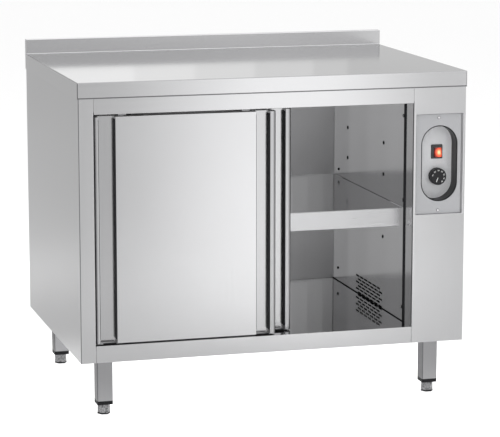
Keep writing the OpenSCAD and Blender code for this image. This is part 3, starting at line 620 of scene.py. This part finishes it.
# Door guides: black nylon blocks under every hand channel, with rounded edges and a
# low lip up into its mouth, that slide along the front of the chamber floor.
deep_black = matt_rubber("deep black nylon", (0.006, 0.006, 0.007), 0.6, 0.2, 700, 0.12)
for door in ("front_door", "rear_door"):
    door_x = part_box(door + "_skin")[0].x
    guide_low, guide_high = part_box(door + "_guides")
    block_top_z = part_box(door + "_skin")[0].z - 0.0009
    blocks = []
    for left, right, lip_right in ((0.018, 0.0585, 0.0515), (0.4095, 0.4505, 0.4425)):
        block = start_box(
            door + "_guide_blocks",
            (door_x + left, guide_low.y, guide_low.z),
            (door_x + right, guide_high.y, block_top_z),
        )
        cut("y", guide_low.y + 0.003)
        cut("x", door_x + lip_right)
        pick_faces(
            block,
            lambda middle, normal: normal.z > 0.9
            and middle.y < guide_low.y + 0.003
            and middle.x < door_x + lip_right,
        )
        bpy.ops.mesh.extrude_region_move(TRANSFORM_OT_translate={"value": (0, 0, 0.0028)})
        round_folds(block, 0.0005, 3)
        close_piece(block)
        blocks.append(block)
    fit(stay_with(*blocks), door, door + "_guides", "black_nylon", deep_black)


# Jamb strips: black rubber profiles, full height, that a closing door comes up
# against on each side of the opening.
bumper_low, bumper_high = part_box("jamb_bumpers")
BUMPER_T = 0.0042
strips = []
for left in (bumper_low.x, bumper_high.x - BUMPER_T):
    strip = start_box(
        "jamb_strips",
        (left, jamb_back_y, bumper_low.z),
        (left + BUMPER_T, bumper_high.y, bumper_high.z),
    )
    round_folds(strip, 0.0008, 3)
    close_piece(strip)
    strips.append(strip)
fit(stay_with(*strips), "root", "jamb_bumpers", "black_rubber", black_rubber)


# Shelf: bright rolled sheet with a deep front lip, shorter than the shelf at both ends
# and folded back once more at its lower edge, resting on the rails.
lip_steel = brushed_steel("bright lip steel", (0.36, 0.36, 0.366), 0.26, "x", 0.08)
shelf_low, shelf_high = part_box("shelf")
lip_ends = (-0.446, 0.346)
lip_back = 0.012
tray = start_box("shelf_sheet", (shelf_low.x, shelf_low.y, shelf_high.z - SHEET), shelf_high)
round_folds(tray, 0.0004, 2)
close_piece(tray)
lip = start_box(
    "shelf_lip",
    (lip_ends[0], shelf_low.y, shelf_low.z),
    (lip_ends[1], shelf_low.y + lip_back, shelf_high.z - 0.0003),
)
pick_faces(lip, lambda middle, normal: normal.y > 0.9 or abs(normal.x) > 0.9)
drop()
round_folds(lip, 0.0018)
close_piece(lip, SHEET)
painted_shade_shelf_steel = brushed_steel("rolled shelf steel darkened with painted shade", (0.22, 0.22, 0.225), 0.12, "y", 0.03, 0.04, 1)
# Painted shade: the shelf's top is given a darker copy of the steel than its lip.
fit(
    stay_with(tray, lip),
    "root",
    "shelf",
    "chamber_steel",
    lip_steel,
    (
        painted_shade_shelf_steel,
        lambda middle, normal: middle.z > shelf_high.z - SHEET * 1.01
        and middle.y > shelf_low.y + 0.001,
    ),
)


# Right chamber wall: a steel sheet lightened with painted light, with six staggered rows
# of punched air slots, its slot and hole insides painted black as painted shade, black
# along its foot, and four pairs of holes for the shelf rails, each lined with a thin black bush.
def round_bar(name, middle, radius, length, turn, sides):
    """Adds an upright bar, turned in degrees, and leaves it open with nothing picked."""
    bpy.ops.object.select_all(action="DESELECT")
    bpy.ops.mesh.primitive_cylinder_add(
        vertices=sides,
        radius=radius,
        depth=length,
        location=middle,
        rotation=[math.radians(angle) for angle in turn],
    )
    piece = bpy.context.object
    piece.name = piece.data.name = name
    bpy.ops.object.transform_apply(location=True, rotation=True, scale=True)
    bpy.ops.object.mode_set(mode="EDIT")
    bpy.ops.mesh.select_all(action="DESELECT")
    return piece


def side_bar(name, x0, x1, y, z, radius, sides):
    """Adds a round bar along the width, left open."""
    return round_bar(name, ((x0 + x1) / 2, y, z), radius, x1 - x0, (0, 90, 0), sides)


def cut_out(piece, tool):
    """Cuts a closed tool out of a piece and removes the tool."""
    bpy.ops.object.select_all(action="DESELECT")
    piece.select_set(True)
    bpy.context.view_layer.objects.active = piece
    hole = piece.modifiers.new("hole", "BOOLEAN")
    hole.operation = "DIFFERENCE"
    hole.solver = "EXACT"
    hole.object = tool
    bpy.ops.object.modifier_apply(modifier=hole.name)
    bpy.data.objects.remove(tool)
    shade(piece)


wall_low, wall_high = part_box("inner_right_wall")
SLOT_W, SLOT_H = 0.0295, 0.005
SLOT_PITCH, ROW_PITCH = 0.0347, 0.0091
SLOT_FIRST_Y, SLOT_LOW_Z = -0.106, 0.1915
HOLE_R = 0.003
hole_ys = (-0.121, 0.181)
hole_zs = [shelf_high.z - 0.0205 + step * 0.083 for step in (-1, 0, 1, 2)]
screw_ys, screw_zs = (-0.275, 0.26), (0.225, 0.504, 0.721)
foot_z = 0.1905
wall = start_box("inner_right_wall_sheet", wall_low, wall_high)
cut("z", foot_z)
close_piece(wall)
tool_x = (wall_low.x - 0.002, wall_high.x + 0.002)
tools = []
for row in range(6):
    for column_number in range(6):
        y = SLOT_FIRST_Y + (column_number + row % 2 / 2) * SLOT_PITCH
        z = SLOT_LOW_Z + row * ROW_PITCH
        slot_tool = start_box(
            "slots",
            (tool_x[0], y - SLOT_W / 2, z - SLOT_H / 2),
            (tool_x[1], y + SLOT_W / 2, z + SLOT_H / 2),
        )
        pick_edges(slot_tool, lambda middle, along, fold: abs(along.x) > 0.9)
        bpy.ops.mesh.bevel(offset=SLOT_H * 0.49, segments=5, affect="EDGES")
        close_piece(slot_tool)
        tools.append(slot_tool)
for ys, zs, radius, sides in ((hole_ys, hole_zs, HOLE_R, 28), (screw_ys, screw_zs, 0.002, 20)):
    for y in ys:
        for z in zs:
            tools.append(side_bar("slots", *tool_x, y, z, radius, sides))
            close_piece(tools[-1])
cut_out(wall, stay_with(*tools))
bushes = []
for y in hole_ys:
    for z in hole_zs:
        bush = side_bar("bushes", wall_low.x - 0.0012, wall_low.x, y, z, 0.0048, 32)
        pick_edges(bush, lambda middle, along, fold: fold > 50 and middle.x < wall_low.x - 0.001)
        bpy.ops.mesh.bevel(offset=0.0005, segments=3, affect="EDGES")
        close_piece(bush)
        bore = side_bar("bore", wall_low.x - 0.004, wall_low.x + 0.002, y, z, HOLE_R, 28)
        close_piece(bore)
        cut_out(bush, bore)
        bush.data.materials.clear()
        bush.data.materials.append(black_rubber)
        bushes.append(bush)
# The sheet takes the wall steel brightened with painted light; the insides of the slots and holes
# are painted black as painted shade, and the band below foot_z is black.
wall.data.materials.clear()
wall.data.materials.append(painted_light_wall_steel)
wall.data.materials.append(black_rubber)
for face in wall.data.polygons:
    inside_hole = (
        abs(face.normal.x) < 0.5
        and wall_low.y + 0.001 < face.center.y < wall_high.y - 0.001
        and face.center.z < wall_high.z - 0.001
    )
    if inside_hole or face.center.z < foot_z:
        face.material_index = 1
right_wall = stay_with(wall, *bushes)
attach(right_wall, "root")
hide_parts("inner_right_wall")


# Wall fasteners: near the doors a bright domed screw on a black washer, near the back
# a blackened rivet, three of each on both chamber walls.
dark_rivet = brushed_steel("blackened rivet steel", (0.012, 0.012, 0.012), 0.5, "y", 0.05, 0.05, 1)
bright_screw = brushed_steel("bright screw steel", (0.55, 0.55, 0.56), 0.22, "y", 0.05, 0.05, 1)
rivet_low, rivet_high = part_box("wall_rivets")
left_wall_x = -0.458
SHANK_R = 0.0018
fasteners = []
for wall_x, inward, end_x in ((wall_low.x, -1, rivet_high.x), (left_wall_x, 1, rivet_low.x)):
    for z in screw_zs:
        for y, radius, proud, sides, steel in (
            (screw_ys[0], 0.0045, 0.0012, 36, dark_rivet),
            (screw_ys[0], 0.0026, 0.0036, 32, bright_screw),
            (screw_ys[1], 0.0036, 0.0026, 32, dark_rivet),
        ):
            face_x = wall_x + inward * proud
            head = side_bar("wall_fasteners", *sorted((face_x, wall_x)), y, z, radius, sides)
            pick_edges(
                head, lambda middle, along, fold: fold > 50 and abs(middle.x - face_x) < 0.0001
            )
            bpy.ops.mesh.bevel(offset=min(0.0016, proud * 0.7), segments=4, affect="EDGES")
            close_piece(head)
            head.data.materials.append(steel)
            fasteners.append(head)
        for y in screw_ys:
            shank = side_bar("wall_fasteners", *sorted((wall_x, end_x)), y, z, SHANK_R, 20)
            close_piece(shank)
            shank.data.materials.append(dark_rivet)
            fasteners.append(shank)
fasteners = stay_with(*fasteners)
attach(fasteners, "root")
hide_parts("wall_rivets")


# Control plate: grey powder-coated steel with a round-ended opening, sitting in the
# well and held by a screw at each end.
def stadium_prism(name, x, z, width, height, y0, y1):
    """Adds an upright round-ended block along the depth, in edit mode."""
    right, top = width / 2, height / 2
    piece = start_box(name, (x - right, y0, z - top), (x + right, y1, z + top))
    pick_edges(piece, lambda middle, along, fold: abs(along.y) > 0.9)
    bpy.ops.mesh.bevel(offset=right * 0.9999, segments=24, affect="EDGES", clamp_overlap=True)
    bpy.ops.mesh.select_all(action="SELECT")
    bpy.ops.mesh.remove_doubles(threshold=0.0002)
    return piece


def powder_coat(name, tint, speckle, size=1400):
    """Powder coat: fine light and dark speckles over a slightly rippled surface."""
    coat, nodes, links, shader, place = start_finish(name)
    shader.inputs["Roughness"].default_value = 0.45
    specks = add_range(nodes, links, add_noise(nodes, links, place, size), "From", 0.35, 0.65)
    colour = add_shades(nodes, links, specks, tint, 1 - speckle, 1 + speckle)
    links.new(colour, shader.inputs["Base Color"])
    add_relief(nodes, links, add_noise(nodes, links, place, 500), shader, 0.25)
    return coat


def round_rims(piece, radius, steps):
    """Opens a closed piece, rounds its sharp rims and closes it again."""
    bpy.ops.object.select_all(action="DESELECT")
    piece.select_set(True)
    bpy.context.view_layer.objects.active = piece
    bpy.ops.object.mode_set(mode="EDIT")
    round_folds(piece, radius, steps, 50)
    close_piece(piece)


plate_grey = powder_coat("speckled grey powder coat", (0.36, 0.363, 0.375), 0.16)
tray_low, tray_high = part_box("control_tray")
pocket_x = (tray_low.x + tray_high.x) / 2
pocket_z = (tray_low.z + tray_high.z) / 2
pocket_w, pocket_h = 0.097, 0.194
plate = start_box("control_plate_sheet", plate_low, plate_high)
pick_edges(plate, lambda middle, along, fold: abs(along.y) > 0.9)
bpy.ops.mesh.bevel(offset=0.002, segments=4, affect="EDGES")
close_piece(plate)
opening = stadium_prism(
    "opening", pocket_x, pocket_z, pocket_w, pocket_h, plate_low.y - 0.01, plate_high.y + 0.01
)
close_piece(opening)
cut_out(plate, opening)
round_rims(plate, 0.0007, 3)
fit(plate, "root", "control_plate", "control_plate", plate_grey)


# Control tray: a deep drawn pocket behind the plate in a paler speckled coat, its side
# walls painted black as painted shade, and a black rubber ring between it and the plate.
tray_wall = 0.0012
shell = stadium_prism(
    "control_tray_pressing",
    pocket_x,
    pocket_z,
    pocket_w - 0.004 + 2 * tray_wall,
    pocket_h - 0.004 + 2 * tray_wall,
    tray_low.y,
    tray_high.y,
)
pick_faces(shell, lambda middle, normal: normal.y < -0.9)
drop()
pick_edges(shell, lambda middle, along, fold: fold > 50 and middle.y > tray_high.y - 0.001)
bpy.ops.mesh.bevel(offset=0.004, segments=5, affect="EDGES")
close_piece(shell, tray_wall)
tray_grey = powder_coat("speckled pale grey coat", (0.6, 0.605, 0.62), 0.14)
painted_shade_black = powder_coat("black coat as painted shade", (0.02, 0.02, 0.022), 0.1)
# Painted shade: the tray's side walls are painted black.
fit(
    shell,
    "root",
    "control_tray",
    "control_plate",
    tray_grey,
    (painted_shade_black, lambda middle, normal: abs(normal.y) < 0.6),
)

ring_low, ring_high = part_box("tray_gasket")
ring = stadium_prism(
    "tray_ring",
    pocket_x,
    pocket_z,
    ring_high.x - ring_low.x,
    ring_high.z - ring_low.z,
    ring_low.y,
    ring_high.y,
)
close_piece(ring)
opening = stadium_prism(
    "opening",
    pocket_x,
    pocket_z,
    pocket_w - 0.005,
    pocket_h - 0.005,
    ring_low.y - 0.01,
    ring_high.y + 0.01,
)
close_piece(opening)
cut_out(ring, opening)
fit(ring, "root", "tray_gasket", "black_rubber", black_rubber)


# Thermostat knob: a turned black plastic cap with fine grip flutes round its skirt, a
# ring of plain numbers and one white line moulded into its face, on a steel shaft.
def turned(name, x, z, radius, y0, y1, sides):
    """Adds a round bar along the depth, left open."""
    return round_bar(name, (x, (y0 + y1) / 2, z), radius, y1 - y0, (90, 0, 0), sides)


knob_low, knob_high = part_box("control_knob")
knob_x, knob_z = (knob_low.x + knob_high.x) / 2, (knob_low.z + knob_high.z) / 2
KNOB_R = (knob_high.x - knob_low.x) / 2
face_y = knob_low.y + 0.0004
knob_black = matt_rubber("black knob plastic", (0.01, 0.01, 0.012), 0.45, 0.15, 900, 0.25)
cap = turned("control_knob_cap", knob_x, knob_z, KNOB_R, face_y, knob_high.y, 96)
pick_edges(
    cap,
    lambda middle, along, fold: abs(along.y) > 0.9
    and math.degrees(math.atan2(middle.z - knob_z, middle.x - knob_x)) % 7.5 < 1,
)
bpy.ops.transform.resize(value=(0.985, 1, 0.985), center_override=(knob_x, 0, knob_z))
pick_faces(cap, lambda middle, normal: normal.y < -0.9)
bpy.ops.mesh.inset(thickness=0.0022, depth=0.0012)
bpy.ops.mesh.inset(thickness=0.0012, depth=-0.0006)
pick_edges(cap, lambda middle, along, fold: fold > 25 and middle.y < face_y + 0.001)
bpy.ops.mesh.bevel(offset=0.0003, segments=2, affect="EDGES", clamp_overlap=True)
close_piece(cap, smooth=30)

dial_white = matt_rubber("white dial print", (0.8, 0.8, 0.78), 0.5, 0.1, 600)
DIAL_R = 0.0155
POINTER_ANGLE = 202
prints = []
dial_y = face_y - 0.0004
for number, clockwise in ((30, 141), (40, 108), (50, 72), (60, 36), (70, 0), (80, -37), (90, -76)):
    turn = math.radians(clockwise)
    bpy.ops.object.select_all(action="DESELECT")
    bpy.ops.object.text_add()
    digits = bpy.context.object
    digits.data.body = str(number)
    digits.data.size = 0.005
    digits.data.align_x = "CENTER"
    digits.data.align_y = "CENTER"
    digits.data.extrude = 0.0003
    digits.data.resolution_u = 3
    bpy.ops.object.convert(target="MESH")
    digits = bpy.context.object
    digits.name = digits.data.name = "knob_print"
    digits.rotation_euler = (math.radians(90), turn, 0)
    digits.location = (knob_x + DIAL_R * math.sin(turn), dial_y, knob_z + DIAL_R * math.cos(turn))
    bpy.ops.object.transform_apply(location=True, rotation=True, scale=True)
    prints.append(digits)
pointer = start_box("knob_print", (-0.0008, -0.0003, 0.003), (0.0008, 0.0003, 0.0145))
bpy.ops.mesh.select_all(action="SELECT")
bpy.ops.mesh.bevel(offset=0.0002, segments=2, affect="EDGES", clamp_overlap=True)
close_piece(pointer)
pointer.rotation_euler = (0, math.radians(POINTER_ANGLE), 0)
pointer.location = (knob_x, dial_y, knob_z)
bpy.ops.object.transform_apply(location=True, rotation=True, scale=True)
prints.append(pointer)
for mark in prints:
    mark.data.materials.clear()
    mark.data.materials.append(dial_white)
cap.data.materials.append(knob_black)
knob = stay_with(cap, *prints)
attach(knob, "knob")
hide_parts("control_knob")


# Rocker switch: a black moulded frame that snaps into the tray, and a red rocker lit
# from inside, brightest low on its right, that tips about a pin across the frame.
case_low, case_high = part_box("switch_housing")
rocker_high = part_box("switch_rocker")[1]
switch_x = (case_low.x + case_high.x) / 2
switch_z = (case_low.z + case_high.z) / 2
frame_back_y = case_low.y + 0.003
frame_black = matt_rubber("black switch frame", (0.012, 0.012, 0.013), 0.25, 0.05, 900)
bezel = start_box(
    "switch_frame", (case_low.x, case_low.y, case_low.z), (case_high.x, frame_back_y, case_high.z)
)
pick_edges(bezel, lambda middle, along, fold: abs(along.y) > 0.9)
bpy.ops.mesh.bevel(offset=0.002, segments=4, affect="EDGES")
pick_edges(bezel, lambda middle, along, fold: fold > 50 and middle.y < case_low.y + 0.0001)
bpy.ops.mesh.bevel(offset=0.0008, segments=3, affect="EDGES")
close_piece(bezel)
case = plain_sheet(
    "switch_frame",
    (switch_x - 0.0135, frame_back_y - 0.0002, switch_z - 0.0165),
    (switch_x + 0.0135, case_high.y, switch_z + 0.0165),
)
window = start_box(
    "window",
    (switch_x - 0.0075, case_low.y - 0.01, switch_z - 0.0146),
    (switch_x + 0.0115, case_low.y + 0.015, switch_z + 0.011),
)
close_piece(window)
case = stay_with(case, bezel)
cut_out(case, window)
fit(case, "root", "switch_housing", "black_plastic", frame_black)

red_glow, nodes, links, shader, place = start_finish("glowing red lens")
shader.inputs["Roughness"].default_value = 0.25
GLOW_W, GLOW_H = 0.012, 0.015
glow_x, glow_z = switch_x + 0.0042, switch_z - 0.002
ball = nodes.new("ShaderNodeMapping")
ball.inputs["Location"].default_value = (-glow_x / GLOW_W, 0, -glow_z / GLOW_H)
ball.inputs["Scale"].default_value = (1 / GLOW_W, 0, 1 / GLOW_H)
links.new(place, ball.inputs["Vector"])
glow = nodes.new("ShaderNodeTexGradient")
glow.gradient_type = "SPHERICAL"
links.new(ball.outputs["Vector"], glow.inputs["Vector"])
haze = add_noise(nodes, links, place, 160)
patchy = nodes.new("ShaderNodeMath")
patchy.operation = "MULTIPLY_ADD"
patchy.inputs[1].default_value = 0.25
links.new(haze, patchy.inputs[0])
links.new(glow.outputs["Fac"], patchy.inputs[2])
heat = nodes.new("ShaderNodeValToRGB")
heat.color_ramp.elements[0].position = 0.12
heat.color_ramp.elements[0].color = (0.12, 0.004, 0.003, 1)
heat.color_ramp.elements[1].position = 1.0
heat.color_ramp.elements[1].color = (1, 0.62, 0.3, 1)
heat.color_ramp.elements.new(0.6).color = (0.9, 0.1, 0.035, 1)
links.new(patchy.outputs["Value"], heat.inputs["Fac"])
links.new(heat.outputs["Color"], shader.inputs["Base Color"])
links.new(heat.outputs["Color"], shader.inputs["Emission Color"])
shader.inputs["Emission Strength"].default_value = 0.55
add_relief(nodes, links, haze, shader, 0.1)

rocker_z = switch_z - 0.0018
rocker = start_box(
    "switch_rocker_lens",
    (switch_x - 0.007, frame_back_y - 0.0085, switch_z - 0.0138),
    (rocker_high.x, rocker_high.y - 0.001, switch_z + 0.0102),
)
cut("z", rocker_z)
pick_edges(
    rocker,
    lambda middle, along, fold: abs(along.x) > 0.9
    and abs(middle.z - rocker_z) < 0.001
    and middle.y < frame_back_y - 0.006,
)
bpy.ops.transform.translate(value=(0, 0.002, 0))
bpy.ops.mesh.bevel(offset=0.002, segments=4, affect="EDGES")
round_folds(rocker, 0.0007, 2, 40)
bpy.ops.mesh.select_all(action="SELECT")
rocker_pin = (switch_x, frame_back_y - 0.004, rocker_z)
bpy.ops.transform.rotate(value=math.radians(8), orient_axis="X", center_override=rocker_pin)
close_piece(rocker)
fit(rocker, "rocker", "switch_rocker", "red_rocker", red_glow)


# Plate screws: two bright domed heads on washers painted dark as painted shade, one at each end of
# the plate.
screw_low, screw_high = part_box("plate_screws")
screw_x = (screw_low.x + screw_high.x) / 2
head_back_y = screw_low.y + 0.002
screws = []
for z in (screw_low.z + 0.004, screw_high.z - 0.004):
    head = turned("plate_screw_pair", screw_x, z, 0.0036, screw_low.y, head_back_y, 40)
    pick_edges(head, lambda middle, along, fold: fold > 50 and middle.y < screw_low.y + 0.0001)
    bpy.ops.mesh.bevel(offset=0.0014, segments=5, affect="EDGES")
    close_piece(head)
    washer = turned("plate_screw_pair", screw_x, z, 0.004, head_back_y - 0.0008, head_back_y, 40)
    pick_edges(washer, lambda middle, along, fold: fold > 50)
    bpy.ops.mesh.bevel(offset=0.0003, segments=2, affect="EDGES")
    close_piece(washer)
    shank = turned("plate_screw_pair", screw_x, z, 0.002, head_back_y - 0.0001, screw_high.y, 24)
    close_piece(shank)
    screws += [head, washer, shank]
# Painted shade: the washers and the backs of the heads take the dark steel.
fit(
    stay_with(*screws),
    "root",
    "plate_screws",
    "fastener_steel",
    bright_screw,
    (painted_shade_steel, lambda middle, normal: head_back_y - 0.001 < middle.y < head_back_y + 0.0001),
)


# Legs: square stainless tubes with rounded corners, welded to plates inside the base,
# each closed by a black plastic plug that carries the levelling foot.
leg_low, leg_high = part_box("legs")
LEG_W = 0.04
half_leg, half_plate = LEG_W / 2, 0.045
leg_x, leg_y = leg_high.x - half_plate, leg_high.y - half_plate
leg_places = [(sx * leg_x, sy * leg_y) for sx in (-1, 1) for sy in (-1, 1)]
plate_z = leg_high.z - 0.003
painted_shade_leg_steel = brushed_steel("leg steel darkened with painted shade", (0.235, 0.235, 0.24), 0.32, "z")
painted_shade_leg_side_steel = brushed_steel("leg left side steel darkened further with painted shade", (0.11, 0.11, 0.113), 0.36, "z")
BAND = 0.0035
tubes = []
for x, y in leg_places:
    tube = start_box(
        "leg_tubes",
        (x - half_leg, y - half_leg, leg_low.z + BAND),
        (x + half_leg, y + half_leg, plate_z),
    )
    pick_faces(tube, lambda middle, normal: abs(normal.z) > 0.9)
    drop()
    pick_edges(tube, lambda middle, along, fold: fold > 50)
    bpy.ops.mesh.bevel(offset=0.003, segments=4, affect="EDGES")
    close_piece(tube, 0.0015)
    foot_plate = start_box(
        "leg_tubes",
        (x - half_plate, y - half_plate, plate_z),
        (x + half_plate, y + half_plate, leg_high.z),
    )
    round_folds(foot_plate, 0.0006, 2)
    close_piece(foot_plate)
    tubes += [tube, foot_plate]
# Painted shade: the legs are darker than the body steel, and their left faces darker still.
fit(
    stay_with(*tubes),
    "root",
    "legs",
    "stainless",
    painted_shade_leg_steel,
    (painted_shade_leg_side_steel, lambda middle, normal: normal.x < -0.5 and middle.z < plate_z),
)

plug_low, plug_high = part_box("leg_plugs")
plugs = []
for x, y in leg_places:
    plug = start_box(
        "leg_tube_plugs",
        (x - half_leg, y - half_leg, plug_low.z),
        (x + half_leg, y + half_leg, leg_low.z + BAND),
    )
    pick_faces(plug, lambda middle, normal: normal.z > 0.9)
    bpy.ops.mesh.inset(thickness=0.0017, depth=0)
    bpy.ops.mesh.extrude_region_move(
        TRANSFORM_OT_translate={"value": (0, 0, plug_high.z - leg_low.z - BAND)}
    )
    pick_edges(plug, lambda middle, along, fold: fold > 50 and abs(along.z) > 0.9)
    bpy.ops.mesh.bevel(offset=0.003, segments=4, affect="EDGES")
    round_folds(plug, 0.0006, 2, 50)
    close_piece(plug)
    plugs.append(plug)
fit(stay_with(*plugs), "root", "leg_plugs", "black_plastic", deep_black)


# Levelling feet: six-sided feet with a mottled cast finish and a black pad at the
# floor, each on a steel stem that screws up into its plug.
foot_grey = powder_coat("mottled cast foot", (0.13, 0.13, 0.134), 0.75, 260)
stem_steel = brushed_steel("foot stem steel", (0.3, 0.3, 0.305), 0.35, "z")
STEM_R = 0.005
PAD_H = 0.0035
hexagon_z = 0.0257
for foot in ("front_left_foot", "front_right_foot", "rear_left_foot", "rear_right_foot"):
    low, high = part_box(foot)
    x, y = (low.x + high.x) / 2, (low.y + high.y) / 2
    parts = []
    for radius, z0, z1, sides, edge, finish in (
        (0.0165, 0.0, PAD_H, 6, 0.001, deep_black),
        (0.0163, PAD_H, hexagon_z, 6, 0.0012, foot_grey),
        (STEM_R, hexagon_z, high.z, 24, 0.0008, stem_steel),
    ):
        middle = (x, y, (z0 + z1) / 2)
        part = round_bar(foot + "_turned", middle, radius, z1 - z0, (0, 0, 89), sides)
        round_folds(part, edge, 3, 40)
        close_piece(part)
        part.data.materials.append(finish)
        parts.append(part)
    whole = stay_with(*parts)
    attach(whole, foot)
    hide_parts(foot)


# All other pieces, such as the plain chamber sheets, the shelf rails, the door gear and
# what is in the service space: CAD solids, each in the finish of its own material.
chamber_steel = brushed_steel("bright rolled steel", (0.74, 0.74, 0.75), 0.12, "y", 0.03, 0.04, 1)
black_plastic = matt_rubber("black moulded plastic", (0.03, 0.03, 0.032), 0.42, 0.2, 700)
nylon_white = matt_rubber("natural nylon", (0.75, 0.73, 0.68), 0.45, 0.2, 500)
ivory = matt_rubber("ivory plastic", (0.7, 0.66, 0.55), 0.4, 0.2, 500)
fastener_steel = brushed_steel("zinc-plated steel", (0.4, 0.4, 0.41), 0.35, "z")
motor_paint = matt_rubber("motor enamel", (0.08, 0.09, 0.1), 0.4, 0.2, 400)
heater_sheath = brushed_steel("heater sheath", (0.25, 0.22, 0.19), 0.5, "z")
copper = brushed_steel("drawn copper", (0.6, 0.33, 0.2), 0.3, "y")
board = matt_rubber("board", (0.42, 0.3, 0.18), 0.7, 0.4, 200)
wool = matt_rubber("insulation board", (0.5, 0.45, 0.25), 0.85, 0.6, 300)
back_wall_steel = brushed_steel("back wall steel", (0.46, 0.46, 0.467), 0.45, "z", 0.04, 0.04, 1)
floor_steel = brushed_steel("chamber floor steel", (0.32, 0.32, 0.325), 0.055, "y", 0.01, 0.04, 1)
painted_shade_duct_steel = brushed_steel("duct steel blackened as painted shade", (0.01, 0.01, 0.01), 0.6, "z", 0.1, 0.1, 1)
finishes = {
    "stainless": steel_upright,
    "chamber_steel": chamber_steel,
    "fastener_steel": fastener_steel,
    "black_rubber": black_rubber,
    "black_nylon": black_plastic,
    "white_nylon": nylon_white,
    "pale_plastic": ivory,
    "motor_paint": motor_paint,
    "heater_sheath": heater_sheath,
    "copper_tube": copper,
    "board": board,
    "insulation": wool,
}
# The left chamber wall takes the wall steel brightened with painted light, and the fan housing is
# blackened as painted shade.
own_finishes = {
    "inner_back_wall": back_wall_steel,
    "inner_left_wall": painted_light_wall_steel,
    "fan_housing": painted_shade_duct_steel,
    "chamber_floor": floor_steel,
}
for name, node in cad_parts.items():
    for slot in node.material_slots:
        slot_name = slot.material.name.split(".")[0] if slot.material else "stainless"
        slot.material = own_finishes.get(name, finishes.get(slot_name, steel_upright))
